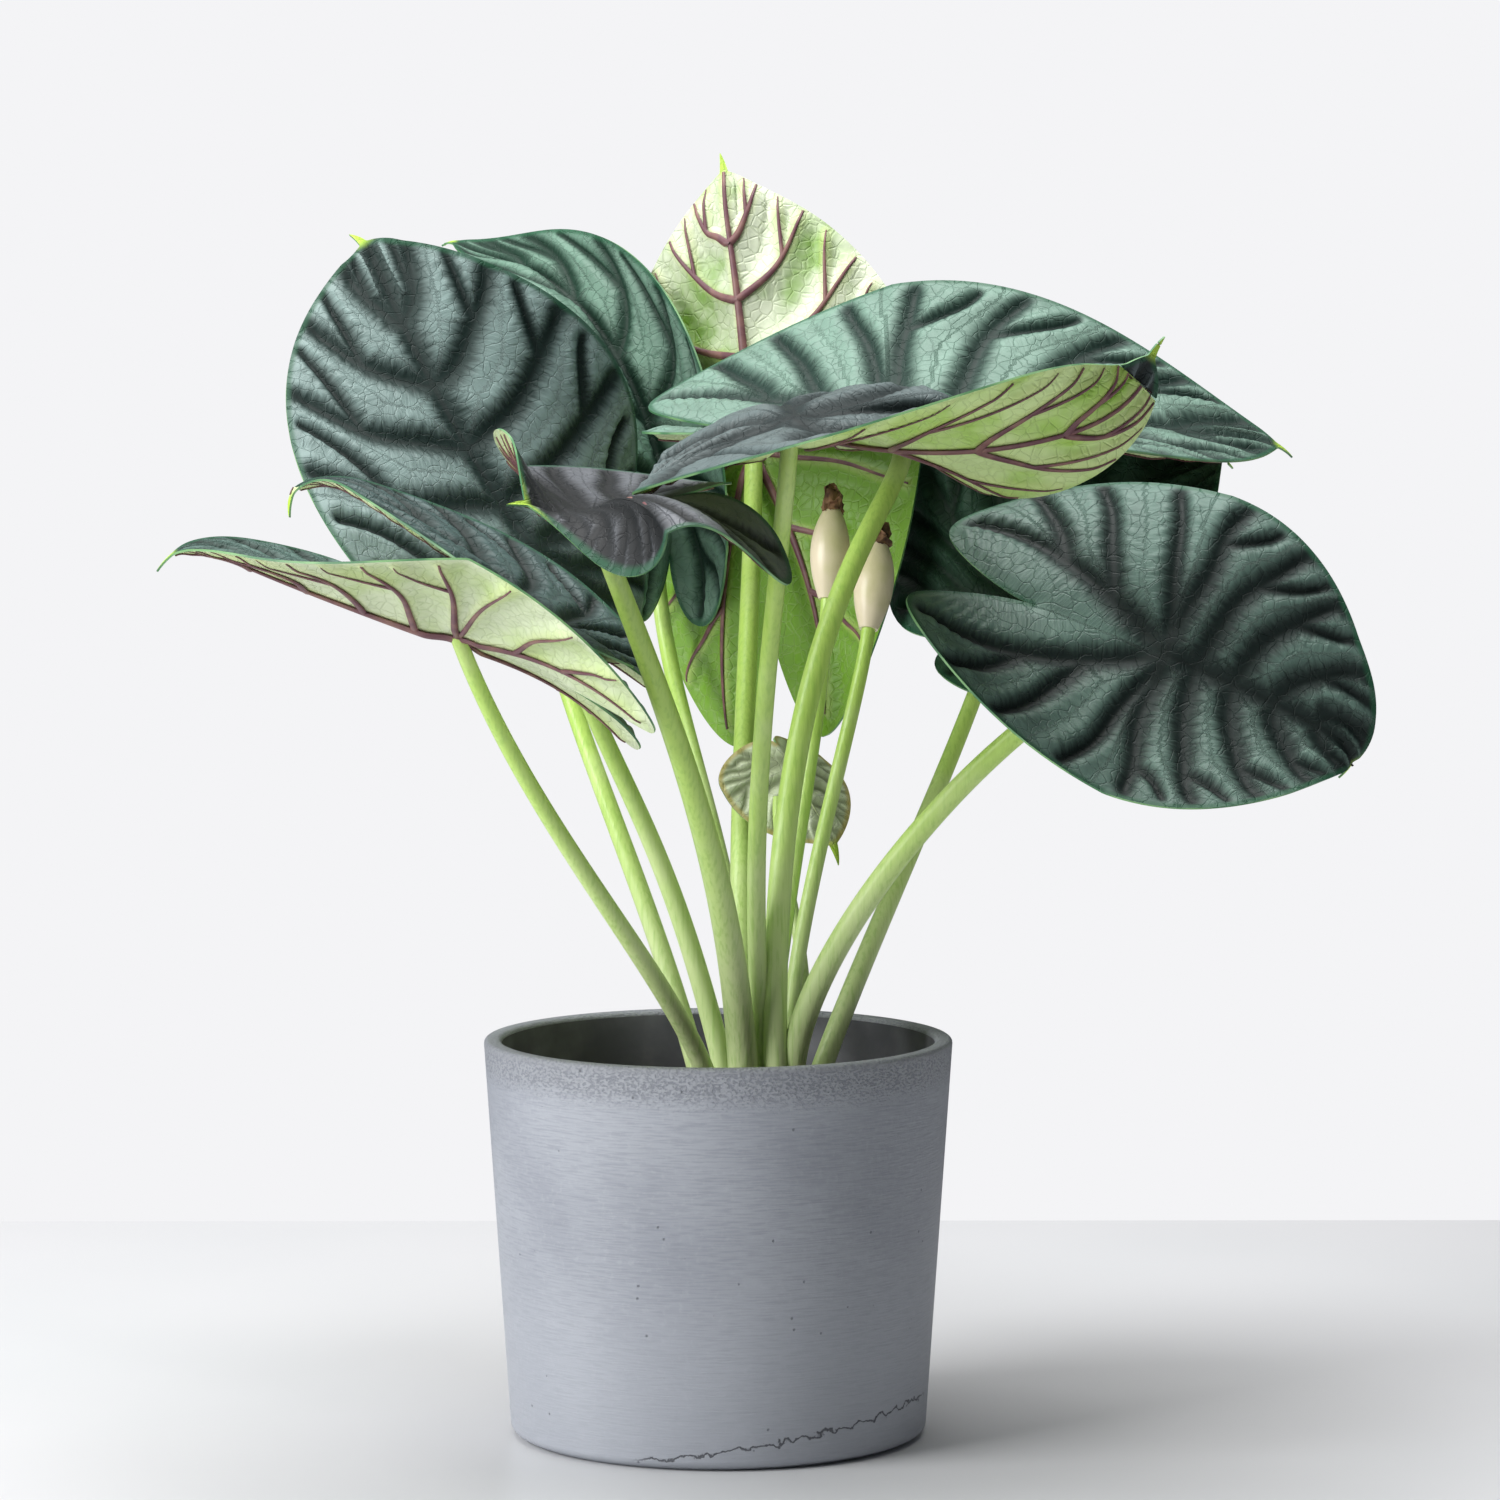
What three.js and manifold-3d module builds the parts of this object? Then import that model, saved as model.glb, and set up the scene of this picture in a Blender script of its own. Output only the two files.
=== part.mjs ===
// A potted alocasia: a cast stone-grey pot, potting soil, a short rhizome, eleven leaves on
// long petioles and two closed flower spathes on their stalks. Millimetres, +Z up; the
// origin is the middle of the pot's flat underside, and -Y is the plant's front.
import * as THREE from 'three';
import { mergeVertices } from 'three/addons/utils/BufferGeometryUtils.js';
import Module from 'manifold-3d';

const wasm = await Module();
wasm.setup();

// ---- sizes ----------------------------------------------------------------

const FIT_GAP = 0.3; // clearance between pieces that touch

const POT_HEIGHT = 136;
const POT_RIM_RADIUS = 80;
const POT_FOOT_RADIUS = 71;
const POT_WALL = 6;
const POT_FLOOR = 8;
const RIM_ROUND = 1.6;
const FOOT_CHAMFER = 2.5;
const POT_SIDES = 40;

const SOIL_DEPTH_BELOW_RIM = 24;
const SOIL_MOUND = 2;

const RHIZOME_CENTRE = [12, 0];
const RHIZOME_HALF_LENGTH = 27; // along X
const RHIZOME_HALF_WIDTH = 20; // along Y
const RHIZOME_DEPTH = 34; // below the soil surface
const RHIZOME_CROWN = 5; // above the soil surface

const BLADE_THICKNESS = 1.2;
const BLADE_SINUS = 0.56; // share of the lobe length that the notch reaches
const LOBE_CENTRE = 0.4; // share of the half width at which each lobe ends
const BLADE_ROWS = 14;
const BLADE_COLUMNS = 4;

const PETIOLE_SCALE = 1; // thickness of all the petioles and flower stalks
const PETIOLE_SIDES = 8;
const PETIOLE_STEPS = 10;

const SPATHE_RADIUS = 6.8;
const SPATHE_LENGTH = 33;
const SPATHE_TIP_RADIUS = 5.2;
const SPATHE_TIP_LENGTH = 8;

// Each leaf's blade joins its petiole at `at` (height over the soil surface), with its
// tip aimed at `heading` and `pitch` and turned by `roll`, in degrees. `ahead` and
// `behind` are the lengths in front of the join and down the lobes, `half` is half the
// width. The blade droops along its midrib, and each side folds and curls up from it:
// three fold angles are for the lobes, the middle and the tip. The petiole starts at
// `foot` on the crown, leaves it along `rise` and comes to the blade from `arrive`.
const LEAVES = [
  {
    name: 'left_low',
    at: [-84, -96, 167], heading: 176, pitch: 18, roll: -3,
    ahead: 98, behind: 70, half: 59,
    droop: -7, back: 21, tip: 47, twist: -49, sway: 10,
    foldLeft: [18, 37, 51], foldRight: [-18, 14, -49],
    curlLeft: [0, 0], curlRight: [0, 0],
    foot: [-1, -8], rise: [-5, -9, 38], arrive: [24, 30, -71],
    neck: 2.6, root: 3.6,
  },
  {
    name: 'left_tall',
    at: [-65, 62, 188], heading: 165, pitch: 55, roll: 3,
    ahead: 131, behind: 39, half: 80,
    droop: -6, back: 47, tip: 5, twist: -61, sway: -23,
    foldLeft: [-24, -12, 3], foldRight: [25, 29, 20],
    curlLeft: [-24, 8], curlRight: [-34, 15],
    foot: [-4, 3], rise: [-18, 6, 75], arrive: [8, -26, -53],
    neck: 2.7, root: 3.6,
  },
  {
    name: 'left_middle',
    at: [-54, -40, 170], heading: 145, pitch: 31, roll: 42,
    ahead: 112, behind: 40, half: 40,
    droop: 17, back: -13, tip: 89, twist: -2, sway: 14,
    foldLeft: [-24, -23, -23], foldRight: [5, 54, 21],
    curlLeft: [-1, -4], curlRight: [32, -1],
    foot: [5, -1], rise: [-22, -2, 98], arrive: [20, 31, -63],
    neck: 2.7, root: 3.7,
  },
  {
    name: 'front_curled',
    at: [-41, -100, 207], heading: 204, pitch: -5, roll: -26,
    ahead: 25, behind: 55, half: 64,
    droop: -39, back: -18, tip: 11, twist: -36, sway: 4,
    foldLeft: [-41, 85, 44], foldRight: [-44, -15, -9],
    curlLeft: [12, -95], curlRight: [30, -11],
    foot: [9, -11], rise: [-2, -8, 79], arrive: [28, 39, -76],
    neck: 3.0, root: 5.4,
  },
  {
    name: 'left_back',
    at: [-20, 157, 208], heading: 145, pitch: 76, roll: -16,
    ahead: 161, behind: 49, half: 34,
    droop: 87, back: 39, tip: -29, twist: 0, sway: -2,
    foldLeft: [27, 8, -3], foldRight: [47, 49, 22],
    curlLeft: [-6, -7], curlRight: [87, 36],
    foot: [7, 7], rise: [12, 60, 70], arrive: [-15, 45, -70],
    neck: 2.7, root: 3.6,
  },
  {
    name: 'centre_back',
    at: [13, 141, 219], heading: 289, pitch: 102, roll: -49,
    ahead: 108, behind: 106, half: 67,
    droop: -5, back: -8, tip: -26, twist: -7, sway: -10,
    foldLeft: [-27, 15, 34], foldRight: [25, 17, -3],
    curlLeft: [-15, 2], curlRight: [6, -12],
    foot: [10, 14], rise: [-6, 13, 90], arrive: [-1, -57, -73],
    neck: 3.3, root: 3.9,
  },
  {
    name: 'right_front',
    at: [24, -76, 237], heading: -59, pitch: -12, roll: -34,
    ahead: 140, behind: 56, half: 62,
    droop: -70, back: 58, tip: -45, twist: -75, sway: 76,
    foldLeft: [51, 46, 5], foldRight: [-53, -52, -5],
    curlLeft: [-27, 32], curlRight: [-19, -8],
    foot: [17, -5], rise: [-11, -6, 98], arrive: [-4, 32, -67],
    neck: 2.9, root: 3.3,
  },
  {
    name: 'right_upper',
    at: [62, 66, 231], heading: -5, pitch: 5, roll: 23,
    ahead: 138, behind: 88, half: 74,
    droop: 23, back: -10, tip: 0, twist: -25, sway: 14,
    foldLeft: [-13, 29, 29], foldRight: [18, 20, -32],
    curlLeft: [5, 16], curlRight: [12, 19],
    foot: [20, -12], rise: [-8, 11, 193], arrive: [17, -34, -22],
    neck: 3.3, root: 4.2,
  },
  {
    name: 'right_low',
    at: [147, -67, 159], heading: -11, pitch: -20, roll: 34,
    ahead: 75, behind: 84, half: 61,
    droop: 15, back: 0, tip: 67, twist: -18, sway: 2,
    foldLeft: [2, 63, 46], foldRight: [4, -47, -24],
    curlLeft: [-32, -24], curlRight: [41, 22],
    foot: [26, -6], rise: [-12, -8, 49], arrive: [-40, 42, -4],
    neck: 3.0, root: 4.6,
  },
  {
    name: 'right_back',
    at: [102, 74, 170], heading: -1, pitch: 43, roll: 22,
    ahead: 96, behind: 37, half: 66,
    droop: 18, back: -20, tip: 44, twist: 16, sway: 16,
    foldLeft: [10, 48, 37], foldRight: [13, -4, 9],
    curlLeft: [-10, 27], curlRight: [-26, -24],
    foot: [31, 3], rise: [17, 5, 52], arrive: [-17, -14, -56],
    neck: 2.6, root: 3.8,
  },
  {
    name: 'withered',
    at: [24, 47, 115], heading: -36, pitch: -52, roll: 16,
    ahead: 35, behind: 13, half: 26,
    droop: 7, back: 17, tip: -3, twist: 12, sway: 1,
    foldLeft: [-29, -17, -12], foldRight: [-22, -30, -28],
    curlLeft: [0, 0], curlRight: [0, 0],
    foot: [22, 13], rise: [22, 4, 46], arrive: [-15, -15, -27],
    neck: 1.5, root: 2.4,
  },
];

// Flower stalks, which bend the same way, each with a closed spathe on its end.
const FLOWERS = [
  {
    name: 'left', at: [38, 45, 171],
    foot: [17, 7], rise: [2, 4, 58], arrive: [-3, -17, -54],
    neck: 2.4, root: 2.8,
  },
  {
    name: 'right', at: [52, 38, 161],
    foot: [24, 4], rise: [-5, 3, 44], arrive: [-4, -13, -30],
    neck: 2.4, root: 2.8,
  },
];

const POT_COLOUR = 0x878b93;
const SOIL_COLOUR = 0x3a2f27;
const RHIZOME_COLOUR = 0x6b5a40;
const BLADE_COLOUR = 0x5f7370;
const PALE_BLADE_COLOUR = 0xb8cf9c;
const WITHERED_COLOUR = 0x9aa58c;
const PETIOLE_COLOUR = 0x9dbd62;
const SPATHE_COLOUR = 0xe8e2c4;
const SPATHE_TIP_COLOUR = 0x6f4c33;

const SOIL_TOP = POT_HEIGHT - SOIL_DEPTH_BELOW_RIM;

const rad = THREE.MathUtils.degToRad;
const part = new THREE.Group();

function add(name, geometry, color, roughness) {
  const material = new THREE.MeshStandardMaterial({ color, roughness, metalness: 0 });
  const mesh = new THREE.Mesh(geometry, material);
  mesh.name = name;
  part.add(mesh);
  return mesh;
}

// ---- closed meshes and cuts -----------------------------------------------

function toSolid(geometry) {
  const bare = geometry.clone();
  bare.deleteAttribute('normal');
  bare.deleteAttribute('uv');
  const merged = mergeVertices(bare, 1e-4);
  return new wasm.Manifold(new wasm.Mesh({
    numProp: 3,
    vertProperties: Float32Array.from(merged.attributes.position.array),
    triVerts: Uint32Array.from(merged.index.array),
  }));
}

function toGeometry(solid) {
  const mesh = solid.getMesh();
  const geometry = new THREE.BufferGeometry();
  geometry.setAttribute('position', new THREE.BufferAttribute(mesh.vertProperties, 3));
  geometry.setIndex(new THREE.BufferAttribute(mesh.triVerts, 1));
  geometry.computeVertexNormals();
  return geometry;
}

function largestPiece(solid) {
  return solid.decompose().reduce((best, next) => (next.volume() > best.volume() ? next : best));
}

function meshFrom(points, triangles) {
  const geometry = new THREE.BufferGeometry();
  const numbers = points.flatMap((p) => p.toArray());
  geometry.setAttribute('position', new THREE.Float32BufferAttribute(numbers, 3));
  geometry.setIndex(triangles.flat());
  geometry.computeVertexNormals();
  return geometry;
}

// ---- pot and soil ---------------------------------------------------------

function roundedCorner(x, z, radius, from, to, steps = 3) {
  const points = [];
  for (let i = 0; i <= steps; i++) {
    const angle = rad(from + ((to - from) * i) / steps);
    points.push(new THREE.Vector2(x + radius * Math.cos(angle), z + radius * Math.sin(angle)));
  }
  return points;
}

function innerRadiusAt(z) {
  const outer = POT_FOOT_RADIUS + ((POT_RIM_RADIUS - POT_FOOT_RADIUS) * z) / POT_HEIGHT;
  return outer - POT_WALL;
}

function lathe(profile, segments) {
  const geometry = new THREE.LatheGeometry(profile, segments);
  geometry.rotateX(Math.PI / 2);
  return toGeometry(toSolid(geometry));
}

function potProfile() {
  const rimOuter = POT_RIM_RADIUS - RIM_ROUND;
  const rimInner = POT_RIM_RADIUS - POT_WALL + RIM_ROUND;
  return [
    new THREE.Vector2(0, 0),
    new THREE.Vector2(POT_FOOT_RADIUS - FOOT_CHAMFER, 0),
    new THREE.Vector2(POT_FOOT_RADIUS, FOOT_CHAMFER),
    ...roundedCorner(rimOuter, POT_HEIGHT - RIM_ROUND, RIM_ROUND, 0, 90),
    ...roundedCorner(rimInner, POT_HEIGHT - RIM_ROUND, RIM_ROUND, 90, 180),
    new THREE.Vector2(innerRadiusAt(POT_FLOOR), POT_FLOOR),
    new THREE.Vector2(0, POT_FLOOR),
  ];
}

function soilProfile() {
  const bottom = POT_FLOOR + FIT_GAP;
  const edge = SOIL_TOP - SOIL_MOUND;
  const points = [
    new THREE.Vector2(0, bottom),
    new THREE.Vector2(innerRadiusAt(bottom) - FIT_GAP, bottom),
    new THREE.Vector2(innerRadiusAt(edge) - FIT_GAP, edge),
  ];
  for (const share of [0.6, 0]) {
    const rise = SOIL_MOUND * Math.cos((share * Math.PI) / 2);
    points.push(new THREE.Vector2(share * (innerRadiusAt(edge) - FIT_GAP), edge + rise));
  }
  return points;
}

function rhizomeSolid(grown) {
  const height = (RHIZOME_DEPTH + RHIZOME_CROWN) / 2 + grown;
  const geometry = new THREE.SphereGeometry(1, 16, 10);
  geometry.rotateX(Math.PI / 2);
  geometry.scale(RHIZOME_HALF_LENGTH + grown, RHIZOME_HALF_WIDTH + grown, height);
  const middle = SOIL_TOP + RHIZOME_CROWN - (RHIZOME_DEPTH + RHIZOME_CROWN) / 2;
  geometry.translate(RHIZOME_CENTRE[0], RHIZOME_CENTRE[1], middle);
  return toSolid(geometry);
}

// ---- blades ---------------------------------------------------------------

// Half width of the flat blade at `a`, measured along the midrib from the petiole.
function outerEdge(leaf, a) {
  if (a >= 0) {
    const share = Math.min(a / leaf.ahead, 1);
    return leaf.half * (1 - share ** 2.1) ** 0.86;
  }
  const share = Math.min(-a / leaf.behind, 1);
  return leaf.half * (LOBE_CENTRE + (1 - LOBE_CENTRE) * Math.sqrt(1 - share ** 2.6));
}

// Distance of the notch edge from the midrib line; zero where the halves are joined.
function innerEdge(leaf, a) {
  const notch = BLADE_SINUS * leaf.behind;
  if (a >= -notch) return 0;
  const share = Math.min((-notch - a) / (leaf.behind - notch), 1);
  return leaf.half * LOBE_CENTRE * (1 - Math.sqrt(1 - share ** 1.6));
}

// Rows lie closer together at the tip and the lobe ends, where the outline turns.
function rowPositions(leaf) {
  const length = leaf.ahead + leaf.behind;
  return Array.from({ length: BLADE_ROWS }, (_, i) => {
    const u = i / (BLADE_ROWS - 1);
    const share = 0.35 * u + 0.65 * (0.5 - 0.5 * Math.cos(Math.PI * u));
    return -leaf.behind + length * share;
  });
}

// Point and direction of the bent midrib at `a`, walked in small steps from the petiole.
function midribAt(leaf, a) {
  const steps = 40;
  const point = new THREE.Vector3();
  const direction = new THREE.Vector3(1, 0, 0);
  const aim = (s) => {
    const tipShare = THREE.MathUtils.clamp((s / leaf.ahead - 0.7) / 0.3, 0, 1);
    const slope = s > 0 ? -leaf.droop * (s / leaf.ahead) : leaf.back * (-s / leaf.behind);
    const climb = rad(slope - leaf.tip * tipShare ** 2);
    const turn = s > 0 ? rad(leaf.sway * (s / leaf.ahead)) : 0;
    const level = Math.cos(climb);
    return direction.set(level * Math.cos(turn), level * Math.sin(turn), Math.sin(climb));
  };
  for (let i = 0; i < steps; i++) point.addScaledVector(aim((a * (i + 0.5)) / steps), a / steps);
  return { point, direction: aim(a).clone() };
}

function along(t, [lobe, middle, tip]) {
  return lobe * (1 - t) ** 2 + 2 * middle * t * (1 - t) + tip * t * t;
}

// Bends a flat point (a, b) of the blade; +b is the side left of the tip, seen from above.
function bend(leaf, a, b) {
  const { point, direction } = midribAt(leaf, a);
  const t = (a + leaf.behind) / (leaf.ahead + leaf.behind);
  const side = b < 0 ? -1 : 1;
  const reach = Math.abs(b);
  const fold = rad(along(t, b < 0 ? leaf.foldRight : leaf.foldLeft));
  const [curlLobe, curlTip] = b < 0 ? leaf.curlRight : leaf.curlLeft;
  const curl = rad(curlLobe * (1 - t) + curlTip * t) / leaf.half || 1e-8;
  const out = (Math.sin(fold + curl * reach) - Math.sin(fold)) / curl;
  const up = (Math.cos(fold) - Math.cos(fold + curl * reach)) / curl;
  const across = new THREE.Vector3(0, 0, 1).cross(direction).normalize();
  const normal = direction.clone().cross(across);
  const twist = a > 0 ? rad((leaf.twist * a) / leaf.ahead) : 0;
  const turnedAcross = across.clone().multiplyScalar(Math.cos(twist));
  turnedAcross.addScaledVector(normal, Math.sin(twist));
  const turnedNormal = normal.multiplyScalar(Math.cos(twist)).addScaledVector(across, -Math.sin(twist));
  return point.addScaledVector(turnedAcross, side * out).addScaledVector(turnedNormal, up);
}

function bladeFrame(leaf) {
  const frame = new THREE.Matrix4().makeRotationZ(rad(leaf.heading));
  frame.multiply(new THREE.Matrix4().makeRotationY(-rad(leaf.pitch)));
  frame.multiply(new THREE.Matrix4().makeRotationX(rad(leaf.roll)));
  frame.setPosition(leaf.at[0], leaf.at[1], SOIL_TOP + leaf.at[2]);
  return frame;
}

// The blade's middle surface: one grid for each half, joined down the midrib.
function bladeSurface(leaf) {
  const frame = bladeFrame(leaf);
  const points = [];
  const known = new Map();
  const pointAt = (a, b) => {
    const key = `${a.toFixed(3)} ${Math.abs(b) < 1e-6 ? 0 : b.toFixed(3)}`;
    if (!known.has(key)) {
      known.set(key, points.length);
      points.push(bend(leaf, a, b).applyMatrix4(frame));
    }
    return known.get(key);
  };
  const triangles = [];
  const rows = rowPositions(leaf);
  for (const side of [1, -1]) {
    const grid = rows.map((a) => Array.from({ length: BLADE_COLUMNS + 1 }, (_, j) => {
      const inner = innerEdge(leaf, a);
      return pointAt(a, side * (inner + ((outerEdge(leaf, a) - inner) * j) / BLADE_COLUMNS));
    }));
    for (let i = 0; i + 1 < rows.length; i++) {
      for (let j = 0; j < BLADE_COLUMNS; j++) {
        const corners = [grid[i][j], grid[i + 1][j], grid[i + 1][j + 1], grid[i][j + 1]];
        if (side < 0) corners.reverse();
        const [p, q, r, s] = corners;
        triangles.push([p, q, r], [p, r, s]);
      }
    }
  }
  return { points, triangles: triangles.filter(([p, q, r]) => p !== q && q !== r && r !== p) };
}

function bladeSolid(leaf, thickness) {
  const { points, triangles } = bladeSurface(leaf);
  const normals = points.map(() => new THREE.Vector3());
  const edges = new Set();
  for (const triangle of triangles) {
    const [p, q, r] = triangle.map((i) => points[i]);
    const normal = q.clone().sub(p).cross(r.clone().sub(p));
    triangle.forEach((i, k) => {
      normals[i].add(normal);
      edges.add(`${i} ${triangle[(k + 1) % 3]}`);
    });
  }
  normals.forEach((normal) => normal.normalize());
  const offset = (distance) => points.map((p, i) => p.clone().addScaledVector(normals[i], distance));
  const under = points.length;
  const faces = triangles.flatMap(([p, q, r]) => [[p, q, r], [r + under, q + under, p + under]]);
  for (const edge of edges) {
    const [p, q] = edge.split(' ').map(Number);
    if (!edges.has(`${q} ${p}`)) faces.push([q, p, p + under], [q, p + under, q + under]);
  }
  return toSolid(meshFrom([...offset(thickness / 2), ...offset(-thickness / 2)], faces));
}

// ---- petioles and flower stalks -------------------------------------------

function stalkCurve(stalk) {
  const start = new THREE.Vector3(stalk.foot[0], stalk.foot[1], SOIL_TOP);
  const end = new THREE.Vector3(stalk.at[0], stalk.at[1], SOIL_TOP + stalk.at[2]);
  return new THREE.CubicBezierCurve3(
    start,
    start.clone().add(new THREE.Vector3(...stalk.rise)),
    end.clone().add(new THREE.Vector3(...stalk.arrive)),
    end,
  );
}

// A round tube with closed ends that tapers from its root to its neck.
function stalkSolid(stalk, grown) {
  const curve = stalkCurve(stalk);
  const frames = curve.computeFrenetFrames(PETIOLE_STEPS, false);
  const points = [];
  for (let i = 0; i <= PETIOLE_STEPS; i++) {
    const t = i / PETIOLE_STEPS;
    const radius = PETIOLE_SCALE * (stalk.neck + (stalk.root - stalk.neck) * (1 - t) ** 1.6) + grown;
    const centre = curve.getPointAt(t);
    if (i === 0) centre.addScaledVector(frames.tangents[0], -grown);
    if (i === PETIOLE_STEPS) centre.addScaledVector(frames.tangents[i], grown);
    for (let k = 0; k < PETIOLE_SIDES; k++) {
      const angle = (2 * Math.PI * k) / PETIOLE_SIDES;
      points.push(centre.clone()
        .addScaledVector(frames.normals[i], radius * Math.cos(angle))
        .addScaledVector(frames.binormals[i], radius * Math.sin(angle)));
    }
  }
  const faces = [];
  for (let i = 0; i < PETIOLE_STEPS; i++) {
    for (let k = 0; k < PETIOLE_SIDES; k++) {
      const next = (k + 1) % PETIOLE_SIDES;
      const p = i * PETIOLE_SIDES + k;
      const q = i * PETIOLE_SIDES + next;
      faces.push([p, q, q + PETIOLE_SIDES], [p, q + PETIOLE_SIDES, p + PETIOLE_SIDES]);
    }
  }
  const last = PETIOLE_STEPS * PETIOLE_SIDES;
  for (let k = 1; k + 1 < PETIOLE_SIDES; k++) faces.push([0, k + 1, k], [last, last + k, last + k + 1]);
  return toSolid(meshFrom(points, faces));
}

// ---- the plant ------------------------------------------------------------

add('pot', lathe(potProfile(), POT_SIDES), POT_COLOUR, 0.8);

const soil = toSolid(lathe(soilProfile(), POT_SIDES)).subtract(rhizomeSolid(FIT_GAP));
add('soil', toGeometry(largestPiece(soil)), SOIL_COLOUR, 0.95);
add('rhizome', toGeometry(rhizomeSolid(0)), RHIZOME_COLOUR, 0.9);

for (const leaf of LEAVES) {
  const color = { centre_back: PALE_BLADE_COLOUR, withered: WITHERED_COLOUR }[leaf.name] ?? BLADE_COLOUR;
  add(`blade_${leaf.name}`, toGeometry(bladeSolid(leaf, BLADE_THICKNESS)), color, 0.5);
}

// Each stalk is trimmed by the crown, by its own blade and by the stalks already set, so
// that the crowded bases clasp one another as the sheathing bases of the real plant do.
const setStalks = [];
function addStalk(name, stalk, blades) {
  let solid = stalkSolid(stalk, 0).subtract(rhizomeSolid(FIT_GAP)).subtract(toSolid(soilBlock()));
  for (const room of blades) solid = solid.subtract(room);
  for (const other of setStalks) solid = solid.subtract(stalkSolid(other, FIT_GAP));
  setStalks.push(stalk);
  add(name, toGeometry(largestPiece(solid)), PETIOLE_COLOUR, 0.55);
}

// Room for the soil and all that lies under its surface.
function soilBlock() {
  const size = 4 * POT_RIM_RADIUS;
  const block = new THREE.BoxGeometry(size, size, size);
  block.translate(0, 0, SOIL_TOP + FIT_GAP - size / 2);
  return block;
}

for (const leaf of LEAVES) {
  const thicknesses = [BLADE_THICKNESS, BLADE_THICKNESS + 2 * FIT_GAP, BLADE_THICKNESS + 4 * FIT_GAP];
  addStalk(`petiole_${leaf.name}`, leaf, thicknesses.map((thickness) => bladeSolid(leaf, thickness)));
}
for (const flower of FLOWERS) addStalk(`flower_stalk_${flower.name}`, flower, []);

// ---- spathes --------------------------------------------------------------

// Each spathe stands on its stalk's end and leans on in the stalk's own direction.
function placeOnStalk(geometry, flower, lift) {
  const curve = stalkCurve(flower);
  const direction = curve.getTangent(1);
  const turn = new THREE.Quaternion().setFromUnitVectors(new THREE.Vector3(0, 0, 1), direction);
  geometry.applyQuaternion(turn);
  const base = curve.getPoint(1).addScaledVector(direction, lift);
  geometry.translate(base.x, base.y, base.z);
  return geometry;
}

function spatheProfile() {
  const points = [new THREE.Vector2(0, 0)];
  for (let i = 0; i <= 8; i++) {
    const t = i / 8;
    const swell = Math.sin(Math.PI * (0.16 + 0.66 * t)) ** 0.8;
    points.push(new THREE.Vector2(SPATHE_RADIUS * swell, SPATHE_LENGTH * t));
  }
  points.push(new THREE.Vector2(0, SPATHE_LENGTH));
  return points;
}

function spatheTipProfile() {
  return [
    new THREE.Vector2(0, 0),
    new THREE.Vector2(0.8 * SPATHE_TIP_RADIUS, 0),
    new THREE.Vector2(SPATHE_TIP_RADIUS, 0.5 * SPATHE_TIP_LENGTH),
    new THREE.Vector2(0.6 * SPATHE_TIP_RADIUS, SPATHE_TIP_LENGTH),
    new THREE.Vector2(0, SPATHE_TIP_LENGTH),
  ];
}

for (const flower of FLOWERS) {
  const body = placeOnStalk(lathe(spatheProfile(), 12), flower, FIT_GAP);
  add(`spathe_${flower.name}`, body, SPATHE_COLOUR, 0.45);
  const tip = placeOnStalk(lathe(spatheTipProfile(), 10), flower, SPATHE_LENGTH + 2 * FIT_GAP);
  add(`spathe_tip_${flower.name}`, tip, SPATHE_TIP_COLOUR, 0.8);
}

export default part;
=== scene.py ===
# A potted alocasia, metres, +Z up, origin in the middle of the pot's underside, front at -Y.
import math

import bpy
import numpy as np
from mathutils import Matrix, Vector, noise


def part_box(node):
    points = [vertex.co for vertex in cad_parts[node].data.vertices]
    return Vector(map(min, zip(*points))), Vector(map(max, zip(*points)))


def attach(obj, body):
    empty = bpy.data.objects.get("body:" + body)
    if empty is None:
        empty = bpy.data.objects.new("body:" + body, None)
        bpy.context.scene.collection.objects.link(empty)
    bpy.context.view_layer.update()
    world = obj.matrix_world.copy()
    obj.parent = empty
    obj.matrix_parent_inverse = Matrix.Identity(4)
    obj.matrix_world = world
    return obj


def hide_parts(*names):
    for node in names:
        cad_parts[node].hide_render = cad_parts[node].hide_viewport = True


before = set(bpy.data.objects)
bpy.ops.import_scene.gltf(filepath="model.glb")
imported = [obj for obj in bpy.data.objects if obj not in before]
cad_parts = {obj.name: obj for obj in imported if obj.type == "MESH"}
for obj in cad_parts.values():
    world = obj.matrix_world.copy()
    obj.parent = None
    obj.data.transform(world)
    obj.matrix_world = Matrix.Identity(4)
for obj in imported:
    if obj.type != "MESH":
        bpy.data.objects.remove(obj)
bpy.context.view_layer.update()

# ---- Pot ------------------------------------------------------------------
# One round cover pot, cast in a matt grey concrete-like mix with a slightly tapered
# wall, a rounded rim and a foot that is set back underneath. It stands by its weight.

POT_FOOT_RADIUS = 0.071
POT_WALL = 0.006
POT_FLOOR = 0.008
RIM_ROUND = 0.0016

pot_low, pot_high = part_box("pot")
POT_HEIGHT = pot_high[2]
POT_RIM_RADIUS = (pot_high[0] - pot_low[0]) / 2


def paint(red, green, blue):
    """A colour from a paint chart, 0 to 255, as the linear colour that a shader takes."""
    parts = [channel / 255 for channel in (red, green, blue)]
    return tuple(p / 12.92 if p <= 0.04045 else ((p + 0.055) / 1.055) ** 2.4 for p in parts) + (1.0,)


def new_material(name, roughness):
    material = bpy.data.materials.new(name)
    material.use_nodes = True
    material.node_tree.nodes["Principled BSDF"].inputs["Roughness"].default_value = roughness
    return material


def shader_of(material):
    return material.node_tree.nodes["Principled BSDF"]


def feed(material, socket, value):
    """Links a socket to a socket, or sets it to a plain value."""
    if isinstance(value, bpy.types.NodeSocket):
        material.node_tree.links.new(value, socket)
    else:
        socket.default_value = value


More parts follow.
